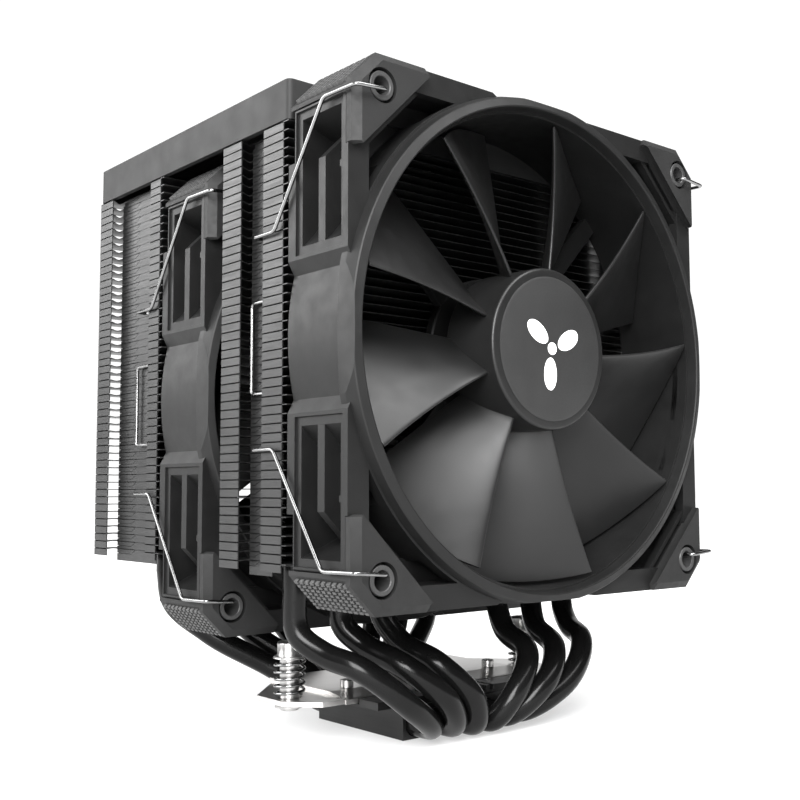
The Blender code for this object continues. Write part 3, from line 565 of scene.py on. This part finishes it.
def fin_stack(name, stack, rows, look):
    """A tower of fins, each one pitch below the last.

    Strips give the last tabs a straight lower edge and close the hairline gaps behind the folds.
    """
    fin = one_fin(stack, rows)
    bm = bmesh.new()
    for index in range(FINS):
        copy = fin.copy()
        copy.transform(Matrix.Translation((0, 0, -FIN_PITCH * index * MM)))
        bm.from_mesh(copy)
    stack_mesh = bpy.data.meshes.new("stack")
    bm.to_mesh(stack_mesh)
    bm.free()
    notch_front, notch_rear = stack["notch"]
    floor, low, top = HALF_WIDTH - NOTCH, FIN_BOTTOM - TAB_DROP + FLANGE_GAP, FIN_TOP - 0.3
    clear, behind = 0.02, 0.5
    strips = []
    for side in (-1, 1):
        inner, outer = sorted((side * (floor - clear), side * (floor - FOLD + clear)))
        strips.append(((inner, notch_front + TAB_INSET, low),
                       (outer, stack["zip"] + 1, low + TAB_RISE + 0.1)))
        inner, outer = sorted((side * (floor - FOLD - clear), side * (floor - behind)))
        strips.append(((inner, notch_front + 1, FIN_BOTTOM), (outer, notch_rear, top)))
        inner, outer = sorted((side * (HALF_WIDTH - FOLD - clear), side * (HALF_WIDTH - behind)))
        for start, end in ((stack["flange"], notch_front), (notch_rear + 1, stack["rear"])):
            strips.append(((inner, start + 0.3, FIN_BOTTOM + 0.2), (outer, end - clear, top)))
    piece(name + "_fins", merged([stack_mesh, boxes(strips)]), look, "cooler", [name],
          angle=30)


def heat_pipes(look):
    """The six bent pipes."""
    low, tip = FIN_BOTTOM - 3.8, FIN_TOP + 4
    for place, pipe in PIPES.items():
        base_x, tower_x, rear_y = pipe["base_x"], pipe["tower_x"], pipe["rear_y"]
        front_dip, rear_dip = pipe["dips"]
        front = [(tower_x, FRONT_LEG_Y, low), *pipe["front"],
                 (base_x, front_dip, PIPE_HEIGHT), (base_x, -BLOCK[1], PIPE_HEIGHT)]
        rear = [(base_x, BLOCK[1], PIPE_HEIGHT), (base_x, rear_dip, PIPE_HEIGHT),
                *pipe["rear"], (tower_x, rear_y, low)]
        route = [(tower_x, FRONT_LEG_Y, tip), *smooth_path(front, 10),
                 *smooth_path(rear, 10), (tower_x, rear_y, tip)]
        for side, sign in SIDES:
            mesh = tube([(sign * x, y, z) for x, y, z in route], PIPE_RADIUS * 0.995, 8)
            name = f"{side}_{place}_heat_pipe"
            piece(name + "_tube", mesh, look, "cooler", [name], angle=60)


# Base ---------------------------------------------------------------------------------------------

def base(looks):
    """The block with its pipe passages, and the ridged plate over it."""
    x, y, z = BLOCK
    block = boxes([((-x, -y, 0), (x, y, z))])
    for pipe in PIPES.values():
        for sign in (-1, 1):
            at = sign * pipe["base_x"]
            passage = ((at, -y - 1, PIPE_HEIGHT), (at, y + 1, PIPE_HEIGHT), PIPE_RADIUS + 0.2)
            block = boolean(block, rods([passage], 40))
    piece("base_block_milled", block, looks["base"], "cooler", ["base_block"], bevel=0.2)
    half, front, rear = 28, -18.3, 19
    seat, seat_front = 9.95, BAR_FRONT - 0.3
    side_view = [(front, PLATE_LOW), (rear, PLATE_LOW), (rear, seat), (BAR_BEND, seat),
                 (seat_front, seat - 1.1), (seat_front, PLATE_TOP), (front, PLATE_TOP)]
    plate = prism([side_view], -half, half, "YZ")
    pitch, slot, count = 2.6, 1.2, 9
    slots = []
    for i in range(count):
        middle = pitch * (i - count // 2)
        slots.append(((middle - slot / 2, front - 1.7, PLATE_LOW + 0.6),
                      (middle + slot / 2, BAR_FRONT + 1, PLATE_TOP + 1.7)))
    plate = boolean(plate, boxes(slots))
    piece("base_top_plate_ridged", plate, looks["base"], "cooler", ["base_top_plate"],
          bevel=0.15)


def cross_slot(x, y, low, high):
    """A cutter for a cross-shaped slot: a box x by y from the middle, and the same box turned."""
    return boolean(boxes([((-x, -y, low), (x, y, high))]),
                   boxes([((-y, -x, low), (y, x, high + 0.1))]), "UNION")


def crossbar(looks):
    """The pressed bar with its sloping lip and low lugs, and the two small screws."""
    lip, half = 1.1, 31.7
    side_view = [(BAR_FRONT, BAR_LOW - lip), (BAR_BEND - 0.6, BAR_LOW - 0.1), (BAR_BEND + 0.4, BAR_LOW),
                 (BAR_REAR, BAR_LOW), (BAR_REAR, BAR_TOP), (BAR_BEND + 0.3, BAR_TOP),
                 (BAR_BEND - 0.5, BAR_TOP - 0.08), (BAR_FRONT, BAR_TOP - lip)]
    bar = prism([side_view], -half, half, "YZ")
    inner, reach, front, rear, cut = half - BAR_THICK, 45.5, BAR_FRONT + 0.25, 8, 7
    lug = [(inner, front), (reach - cut, front), (reach, front + cut), (reach, rear),
           (inner, rear + reach - inner)]
    for sign in (-1, 1):
        bar = boolean(bar, prism([[(sign * x, y) for x, y in lug]], LUG_LOW, LUG_TOP), "UNION")
    holes = [((sign * x, y, 5), (sign * x, y, 15), radius)
             for (x, y), radius in ((SCREW, 2.9), (SMALL_SCREW, 1.3)) for sign in (-1, 1)]
    bar = boolean(bar, rods(holes, 40))
    piece("mounting_crossbar_pressed", bar, looks["steel"], "cooler",
          ["mounting_crossbar"], bevel=0.28)
    low = BAR_TOP + 0.15
    head, shank, end = 1.7, 0.9, low - 1.3
    profile = [(0, low + 2), *arc(0.4, 90, 0, 4, (head - 0.4, low + 1.6)), (head, low), (shank, low),
               (shank, end), (0, end)]
    for side, sign in SIDES:
        screw = boolean(lathe(profile, 40), cross_slot(1, 0.22, low + 1.1, low + 3))
        name = f"{side}_crossbar_screw"
        centre = (sign * SMALL_SCREW[0], SMALL_SCREW[1], 0)
        piece(name + "_head", screw, looks["screw"], "cooler", [name], centre)


def bore_thread(radius, low, high, pitch, depth):
    """The thread inside a bore as a turned profile with close ridges."""
    points = []
    for turn in range(int((high - low) / pitch)):
        start = low + turn * pitch
        points += [(radius + depth, start), (radius, start + pitch * 0.4), (radius, start + pitch * 0.6)]
    return points + [(radius, high)]


def screw_profile(collar_low, clip_top, clip_low):
    """A spring screw: its head and collar, the groove for its clip, and the threaded bore below."""
    top, shaft, groove = HEAD_TOP, 2.4, 1.8
    bore, bore_low, bore_top, pitch, ridge = 1.4, SCREW_END + 0.2, SCREW_END + 8, 0.5, 0.2
    return [(0, top), *arc(0.5, 90, 0, 5, (2.6, top - 0.5)), (3.1, top - 3.2), (3.3, top - 3.5),
            (3.9, top - 3.5), *arc(0.2, 90, -90, 4, (3.9, collar_low + 0.35)),
            (shaft, collar_low + 0.05), (shaft, clip_top), (groove, clip_top), (groove, clip_low),
            (shaft, clip_low), (shaft, bore_low), (shaft - 0.2, SCREW_END), (1.7, SCREW_END),
            *bore_thread(bore, bore_low, bore_top, pitch, ridge), (0, bore_top + 0.6)]


def coil(radius, low, high):
    """Points along a spring's coil."""
    turns, steps = 5, 28
    points = []
    for step in range(turns * steps + 1):
        share = step / (turns * steps)
        angle = math.tau * turns * share
        points.append((radius * math.cos(angle), radius * math.sin(angle), low + (high - low) * share))
    return points


def spring_screws(looks):
    """The sprung screws with their coils and retaining clips."""
    x, y = SCREW
    clip_top = LUG_LOW - 0.3
    clip_low = clip_top - 0.8
    collar_low = HEAD_TOP - 4.2
    wire, coil_radius = 0.36, 3.6
    low, high = LUG_TOP + 0.45, collar_low - 0.42
    clip = [(1.95, clip_top - 0.1), (3.5, clip_top - 0.1), (3.6, clip_top - 0.2),
            (3.6, clip_low + 0.2), (3.5, clip_low + 0.1), (1.95, clip_low + 0.1)]
    for side, sign in SIDES:
        centre = (sign * x, y, 0)
        shank = boolean(lathe(screw_profile(collar_low, clip_top, clip_low), 56),
                        cross_slot(0.45, 2.2, HEAD_TOP - 1.6, HEAD_TOP + 1))
        name = f"{side}_spring_screw"
        piece(name + "_turned", shank, looks["screw"], f"{side}_screw", [name], centre,
              angle=40)
        name = f"{side}_retaining_clip"
        piece(name + "_ring", lathe(clip, 48, True), looks["screw"], f"{side}_screw_carrier",
              [name], centre)
        name = f"{side}_screw_spring"
        spring = piece(name + "_coil", tube(coil(coil_radius, low, high), wire, 4), looks["wire"],
                       "cooler", [name], centre)
        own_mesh(spring)


# Fans ---------------------------------------------------------------------------------------------

def frame_outline():
    """The frame from the front: straight at the corner blocks, round between them."""
    corner = CHAMFER_SUM - math.sqrt(2) * 1.8 - HALF_WIDTH
    bulge = math.degrees(math.asin(13.9 / DUCT_OUTER))
    side = [(HALF_WIDTH, -corner), (HALF_WIDTH, -17)] + arc(DUCT_OUTER, -bulge, bulge, 14)
    side += [(HALF_WIDTH, 17), (HALF_WIDTH, corner)]
    return [point for points in quarter_turns(side) for point in points]


def side_pockets():
    """The pockets in the sides: a shallow step round one deep window in each corner block."""
    step = [(59.4, 18.0), (61, 17.6), (61, 50.8), (59.4, 50.2)]
    step_depths, window_depths = (4.2, 21.6), (5.5, 19.8)
    heights = [25 + 1.5 * i for i in range(7)]
    arc_floor = [(math.sqrt(DUCT_OUTER ** 2 - z ** 2) + 0.05, z) for z in heights]
    deep = [(61, 18.6), (60, 19.3), (57.6, 21.4), *arc_floor, (49.5, 36), (49.5, 44.4), (60, 48.8),
            (61, 49.2)]
    return ([prism([points], *step_depths, "XZ") for points in both_ways(step)]
            + [prism([points], *window_depths, "XZ") for points in both_ways(deep)])


def window_ribs():
    """The rib that parts each window, with a slanted end."""
    front, rear = 11.3, 13.8
    rib = [(59.35, 19), (59.35, 38.4), (52.6, 45.2), (49, 45.2), (49, 30), (52, 26)]
    return [prism([points], front, rear, "XZ") for points in both_ways(rib)]


def frame_body():
    """The square frame, cut for the rubber corners, the front pockets and the side windows."""
    before, behind = 1, 26
    body = prism([frame_outline(), ring(DUCT, 144)], 2.4, 24.4, "XZ")
    edge, inner, chamfer, seat_front, seat_rear = 61.0, 39.1, 58.1, 3.2, 22.0
    seat = [(edge, inner), (edge, edge), (inner, edge), (inner, chamfer), (chamfer, inner)]
    for points in quarter_turns(seat):
        body = boolean(body, prism([points], before, seat_front, "XZ"))
        body = boolean(body, prism([points], seat_rear, behind, "XZ"))
    strip, lip = 54.4, LIP_OUTER + 0.2
    start = math.degrees(math.acos(strip / lip))
    rim = arc(lip, start, 90 - start, 16)
    for diagonal, depth in ((98.2, 5.6), (94.2, 12)):
        pocket = rim + [(diagonal - strip, strip), (strip, diagonal - strip)]
        for points in quarter_turns(pocket):
            body = boolean(body, prism([points], before, depth, "XZ"))
    for cutter in side_pockets():
        body = boolean(body, cutter)
    return boolean(body, rods([((x, 0, z), (x, 30, z), 3.0) for x, z in HOLES], 24))


def corner_walls():
    """The wall and the ledge between each front pocket and the windows beside it."""
    wall = [(54.4, 26), (55.3, 26), (55.3, 40.1), (40.1, 55.3), (26, 55.3), (26, 54.4),
            (39.8, 54.4), (54.4, 39.8)]
    ledge = [(59.3, 34.9), (59.3, 36.3), (36.3, 59.3), (34.9, 59.3)]
    wall_depths, ledge_depths = (5, 12), (3, 6.2)
    return ([prism([points], *wall_depths, "XZ") for points in quarter_turns(wall)]
            + [prism([points], *ledge_depths, "XZ") for points in quarter_turns(ledge)])


def duct_lip():
    """The raised lip round the duct's mouth, cut flush with the frame's sides."""
    crest = [(DUCT, 7), (DUCT, 5.4), (58.2, -0.1), (58.35, -0.38), (58.6, -0.48), (60.35, 0.1),
             (60.6, 0.35), (61.5, 3), (LIP_OUTER, 3.4), (LIP_OUTER, 5.2), (60, 6)]
    limit = HALF_WIDTH - 0.01
    return boolean(lathe(crest, 144, True, "Y"), boxes([((-limit, -2, -limit), (limit, 8, limit))]),
                   "INTERSECT")


def motor_base():
    """The cup at the rear that holds the motor and its bearing, and the four struts to the frame."""
    wall, rear = 20, 24.4
    cup = [(0, 22.6), (3.9, 22.6), (3.9, 6), (5, 6), (5, 21.6), (wall - 0.4, 21.6), (wall, 22),
           (wall, rear - 0.4), (wall - 0.4, rear), (0, rear)]
    arm = [(18, -3.4), (58.4, -2.4), (58.4, 2.4), (18, 3.4)]
    struts = []
    for quarter in range(4):
        strut = prism([arm], 21.9, 24.2, "XZ")
        strut.transform(Matrix.Rotation(math.radians(45 + 90 * quarter), 4, "Y"))
        struts.append(strut)
    return [lathe(cup, 64, axis="Y"), *struts]


def fan_frame(fan, centre, looks):
    """The frame as one moulding, and the bosses round its corner holes."""
    ribs = merged(window_ribs() + corner_walls())
    mesh = merged([frame_body(), ribs, duct_lip(), *motor_base()])
    name = f"{fan}_fan_frame"
    piece(name + "_moulding", mesh, looks["plastic"], "cooler", [name], centre,
          bevel=0.2, angle=18)
    boss = [(2.15, 0.35), (2.3, 0.2), (3.1, 0.2), (3.25, 0.4), (3.25, 23), (2.15, 23)]
    bosses = [lathe(boss, 40, True, "Y", (x, 0, z)) for x, z in HOLES]
    piece(f"{fan}_fan_bosses", merged(bosses), looks["boss"], "cooler", (), centre)


def knurls():
    """The small slanted blocks on the chamfer of the upper right rubber corner."""
    bm = bmesh.new()
    along, out, back = Vector((-1, 0, 1)).normalized(), Vector((1, 0, 1)).normalized(), Vector((0, 1, 0))
    low = CHAMFER_SUM - HALF_WIDTH
    start = Vector((HALF_WIDTH, 0, low))
    rows, columns = 8, 10
    first, pitch, sunk = 3.75, 1.95, 0.75
    deep, wide, tall, slant = 1.3, 0.88, 1.48, 0.32
    length = (HALF_WIDTH - low) * math.sqrt(2)
    for row in range(rows):
        for column in range(columns):
            middle = (start + along * length * (row + 0.5) / rows
                      + back * (first + column * pitch) - out * sunk)
            matrix = Matrix.Identity(4)
            matrix.col[0][:3] = back * deep
            matrix.col[1][:3] = along * wide + back * slant
            matrix.col[2][:3] = out * tall
            matrix.col[3][:3] = middle
            made = bmesh.ops.create_cube(bm, size=1, matrix=matrix)
            for vert in made["verts"]:
                if (vert.co - middle).dot(out) > 0:
                    vert.co += (middle - vert.co).project(along) * 0.12
                    vert.co += (middle - vert.co).project(back) * 0.1
    return to_mesh(bm)


def bevelled_plate(front, rear, depths):
    """A plate with a smaller front outline, and an edge that slopes to the rear one, then is straight."""
    bm = bmesh.new()
    rings = [[bm.verts.new((x, depth, z)) for x, z in outline]
             for outline, depth in zip((front, rear, rear), depths)]
    for one, two in zip(rings, rings[1:]):
        for i, vert in enumerate(one):
            following = (i + 1) % len(one)
            bm.faces.new((vert, one[following], two[following], two[i]))
    bm.faces.new(rings[0])
    bm.faces.new(rings[-1])
    bmesh.ops.recalc_face_normals(bm, faces=bm.faces)
    return to_mesh(bm)


def rubber_corner():
    """The upper right rubber corner without its knurls."""
    inner, full = 39.3, HALF_WIDTH - 0.02
    edge, slope = CHAMFER_SUM - full, inner - 0.5
    front = [(57.8, slope), (58.1, inner), (58.1, 52.4), (52.4, 58.1), (inner, 58.1), (slope, 57.8)]
    rear = [(58.6, slope), (full, inner), (full, edge), (edge, full), (inner, full), (slope, 58.6)]
    lower, inset = 0.8 * math.sqrt(2), 2.1
    pad = [(full, edge - lower), (edge - lower, full), (edge - inset, full), (full, edge - inset)]
    corner = boolean(bevelled_plate(front, rear, (0, 1.5, 3.1)), prism([pad], 2.8, 23.6, "XZ"), "UNION")
    plate = [(58.2, inner), (58.2, 53.7), (53.7, 58.2), (inner, 58.2)]
    corner = boolean(corner, prism([plate], 22.3, 24.4, "XZ"), "UNION")
    return boolean(corner, rods([((HOLE, -1, HOLE), (HOLE, 30, HOLE), 3.9)], 40))


def rubber_corners(fan, centre, looks):
    """Four rubber corners, each a front and a rear plate and the knurled face between them."""
    blocks = knurls()
    corner = rubber_corner()
    for quarter, name in enumerate(("upper_right", "upper_left", "lower_left", "lower_right")):
        turn = Matrix.Rotation(math.radians(-90 * quarter), 4, "Y")
        rubber, blocks_here = corner.copy(), blocks.copy()
        rubber.transform(turn)
        blocks_here.transform(turn)
        node = f"{fan}_fan_{name}_rubber_corner"
        piece(node + "_moulding", rubber, looks["rubber"], "cooler", [node], centre,
              bevel=0.2, angle=30)
        piece(node + "_knurls", blocks_here, looks["knurl"], "cooler", (), centre,
              angle=30)


def blade_point(index, radial, chord):
    """A point of a blade's middle surface: radial from hub to tip, chord from front to rear edge."""
    radius = BLADE_ROOT + (BLADE_TIP - BLADE_ROOT) * radial
    lead_angle = -5.7 * (1 - radial)
    span = 27 + 5 * radial
    lead_depth = 3.6 - 1.6 * radial
    drop = (11 + 5.5 * radial) * (chord + 0.5 * chord * (1 - chord))
    angle = math.radians(FIRST_BLADE + 360 * index / BLADES + lead_angle - span * chord)
    return Vector((radius * math.cos(angle), lead_depth + drop, radius * math.sin(angle)))


def blade_mesh():
    """Nine swept blades, thin at their edges, with closer steps near the front edge."""
    across, along = 18, 20
    edge, belly = 0.14, 0.72
    bm = bmesh.new()
    for index in range(BLADES):
        sheets = []
        for face in (-1, 1):
            sheet = []
            for i in range(across + 1):
                line = []
                for j in range(along + 1):
                    radial, chord = i / across, (j / along) ** 1.6
                    here = blade_point(index, radial, chord)
                    normal = (blade_point(index, radial + 0.01, chord) - here).cross(
                        blade_point(index, radial, chord + 0.01) - here).normalized()
                    half = edge + belly * math.sin(math.pi * chord ** 0.6) ** 0.8
                    line.append(bm.verts.new(here + normal * face * half))
                sheet.append(line)
            sheets.append(sheet)
        for sheet in sheets:
            for i in range(across):
                for j in range(along):
                    bm.faces.new((sheet[i][j], sheet[i + 1][j], sheet[i + 1][j + 1], sheet[i][j + 1]))
        first, second = sheets
        border = ([(i, 0) for i in range(across)] + [(across, j) for j in range(along)]
                  + [(i, along) for i in range(across, 0, -1)] + [(0, j) for j in range(along, 0, -1)])
        for (i, j), (k, m) in zip(border, border[1:] + border[:1]):
            bm.faces.new((first[i][j], first[k][m], second[k][m], second[i][j]))
    bmesh.ops.recalc_face_normals(bm, faces=bm.faces)
    return to_mesh(bm)


def fan_sign():
    """A plain sign for a fan: three lobes round a dot."""
    thick, steps = 0.1, 40
    lobes = []
    for lobe in range(3):
        turn = math.radians(120 * lobe + 20)
        c, s = math.cos(turn), math.sin(turn)
        outline = []
        for step in range(steps):
            angle = math.tau * step / steps
            radius = 1.9 + 2.2 * math.cos(angle) * (1 + 0.2 * math.sin(angle))
            x, z = 6.2 + 3.9 * math.cos(angle), 2.2 * math.sin(angle) + 0.18 * radius
            outline.append((x * c - z * s, x * s + z * c))
        lobes.append(prism([outline], 0.0, thick, "XZ"))
    return merged([*lobes, prism([ring(1.5, 32)], 0.0, thick, "XZ")])


def rotor(fan, centre, looks):
    """The hub with its blades, the disc on its front and a plain fan sign."""
    rear, wall, floor = 16.2, 18.8, 2.9
    profile = [(0, 0.35), (17.4, 0.35), (18.9, 0.5), *arc(0.8, -80, 0, 6, (18.85, 1.3)),
               (19.9, rear - 0.2), (19.7, rear), (wall, rear), (wall, floor), (3, floor), (3, 5.6),
               (1.8, 5.6), (1.8, 2.2), (0, 2.2)]
    mesh = merged([lathe(profile, 128, axis="Y"), blade_mesh()])
    body = f"{fan}_fan_rotor"
    piece(f"{fan}_rotor_moulding", mesh, looks["blades"], body, [f"{fan}_rotor"],
          centre, bevel=0.14, angle=32)
    disc = [(0, 0.08), (16.9, 0.08), (17.5, 0.3), (17.5, 0.45), (0, 0.45)]
    piece(f"{fan}_hub_disc_plate", lathe(disc, 128, axis="Y"), looks["disc"], body,
          [f"{fan}_fan_hub_disc"], centre)
    piece(f"{fan}_hub_sign", fan_sign(), looks["mark"], body, (), centre)


def wire_clips(fan, centre, look):
    """The bent wires at the left and right of a fan."""
    side_x, flange_x, tuck = 61, 57.5, WIRE_TUCK[fan]
    front, foot, bracket = -1.5, 37.3, 43.2
    hook_z, foot_z, bracket_z, lower_bracket_z = 51.2, 24.7, 10.3, -11.4
    half = [(HOLE, 1.9, hook_z), (HOLE, front, hook_z), (side_x, front, 50.5), (side_x, 9.9, 50.8),
            (side_x, 28.8, foot_z), (side_x, foot, foot_z), (flange_x, foot, foot_z),
            (flange_x, tuck, 24.4), (flange_x, tuck, bracket_z), (flange_x, bracket, bracket_z)]
    lower = [(flange_x, bracket, lower_bracket_z), (flange_x, tuck, lower_bracket_z)]
    lower += [(x, y, -z) for x, y, z in reversed(half[:-2])]
    for side, sign in SIDES:
        route = rounded_path([(sign * x, y, z) for x, y, z in half + lower], WIRE_BEND)
        name = f"{fan}_fan_{side}_wire_clip"
        piece(name + "_bent", tube(route, WIRE_RADIUS, 4), look, f"{fan}_{side}_clip",
              [name], centre, angle=60)


def hidden_parts(looks):
    """The CAD nodes inside the fans keep their shape and get their own materials."""
    parts = (("magnet_ring", "magnet"), ("rotor_shaft", "screw"), ("bearing_sleeve", "bronze"),
             ("stator", "copper"), ("circuit_board", "board"))
    for fan in FANS:
        for node, look in parts:
            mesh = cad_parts[f"{fan}_fan_{node}"].data
            mesh.materials.clear()
            mesh.materials.append(looks[look])


# Stage --------------------------------------------------------------------------------------------

def floor():
    """A plain pale floor that glows, with a painted shadow: its glow is dimmer right under the cooler."""
    bm = bmesh.new()
    bmesh.ops.create_grid(bm, x_segments=2, y_segments=2, size=6000)
    bmesh.ops.translate(bm, vec=(0, 0, -0.3), verts=bm.verts)
    obj = bpy.data.objects.new("floor", to_mesh(bm, "floor"))
    bpy.context.scene.collection.objects.link(obj)
    look = Look("pale_floor", 0.7, 0.0, Emission_Color=(1, 1, 1, 1))
    distance = look.nodes.new("ShaderNodeVectorMath")
    distance.operation = "LENGTH"
    look.links.new(look.place, distance.inputs[0])
    # Painted shadow: the glow is 0.5 within 60 mm of the middle and rises to 1.0 by 320 mm, standing in
    # for the cooler's soft shadow.
    painted_shadow_glow = look.spread(distance.outputs["Value"], 0.5, 1.0, (0.06, 0.32))
    look.links.new(painted_shadow_glow, look.shader.inputs["Emission Strength"])
    look.colour(look.noise(200, 2), grey(0.4), grey(0.42))
    obj.data.materials.append(look.material)


def area_light(name, place, target, size, power):
    """A soft rectangular light."""
    light = bpy.data.lights.new(name, "AREA")
    light.shape = "RECTANGLE"
    light.size, light.size_y = size
    light.energy = power
    obj = bpy.data.objects.new(name, light)
    bpy.context.scene.collection.objects.link(obj)
    obj.location = place
    obj.rotation_euler = (Vector(target) - Vector(place)).to_track_quat("-Z", "Y").to_euler()


def backdrop(yaw):
    """The world: dim all round, with a white backdrop behind the cooler."""
    world = bpy.data.worlds.new("studio")
    bpy.context.scene.world = world
    world.use_nodes = True
    nodes, links = world.node_tree.nodes, world.node_tree.links
    direction = nodes.new("ShaderNodeTexCoord").outputs["Generated"]
    dot = nodes.new("ShaderNodeVectorMath")
    dot.operation = "DOT_PRODUCT"
    dot.inputs[1].default_value = (math.sin(yaw), math.cos(yaw), 0)
    links.new(direction, dot.inputs[0])
    spread = nodes.new("ShaderNodeMapRange")
    spread.interpolation_type = "SMOOTHSTEP"
    for socket, value in (("From Min", 0.66), ("From Max", 0.82), ("To Min", 0.09), ("To Max", 1.1)):
        spread.inputs[socket].default_value = value
    links.new(dot.outputs["Value"], spread.inputs["Value"])
    nodes["Background"].inputs["Color"].default_value = (1, 1, 1, 1)
    links.new(spread.outputs["Result"], nodes["Background"].inputs["Strength"])


def studio():
    """A white backdrop, soft lights, and the camera to the front left."""
    scene = bpy.context.scene
    yaw, pitch, roll = (math.radians(angle) for angle in CAMERA_ANGLES)
    backdrop(yaw)
    middle = (0, 0.01, 0.09)
    area_light("rear_left_softbox", (-0.75, 0.62, 0.5), middle, (0.9, 0.6), 18)
    area_light("front_left_softbox", (-0.7, -0.62, 0.52), middle, (0.5, 0.8), 36)
    area_light("overhead_softbox", (0.1, -0.55, 0.9), middle, (0.9, 0.6), 17)
    sun = bpy.data.lights.new("even_light", "SUN")
    sun.energy = 0.7
    sun.angle = math.radians(80)
    sun_object = bpy.data.objects.new("even_light", sun)
    sun_object.rotation_euler = (math.radians(-12), math.radians(-18), 0)
    scene.collection.objects.link(sun_object)
    camera = bpy.data.cameras.new("camera")
    camera.sensor_width = 36
    camera.lens = CAMERA_LENS
    camera.clip_start = 0.01
    obj = bpy.data.objects.new("camera", camera)
    scene.collection.objects.link(obj)
    turn = Matrix.Rotation(-yaw, 4, "Z") @ Matrix.Rotation(math.pi / 2 + pitch, 4, "X")
    turn = turn @ Matrix.Rotation(roll, 4, "Z")
    obj.matrix_world = Matrix.Translation(Vector(CAMERA_PLACE) * MM) @ turn
    scene.camera = obj
    scene.view_settings.view_transform = "Standard"


def main():
    """Every piece, then the stage."""
    looks = make_looks()
    top_cover(looks["cover"])
    for name, stack in (("front", FRONT_STACK), ("rear", REAR_STACK)):
        rows = [(sign * pipe["tower_x"], FRONT_LEG_Y if name == "front" else pipe["rear_y"])
                for pipe in PIPES.values() for sign in (-1, 1)]
        fin_stack(name + "_fin_stack", stack, rows, looks["fins"])
    heat_pipes(looks["pipes"])
    base(looks)
    crossbar(looks)
    spring_screws(looks)
    for fan, centre in FANS.items():
        fan_frame(fan, centre, looks)
        rubber_corners(fan, centre, looks)
        rotor(fan, centre, looks)
        wire_clips(fan, centre, looks["wire"])
    hidden_parts(looks)
    floor()
    studio()


main()
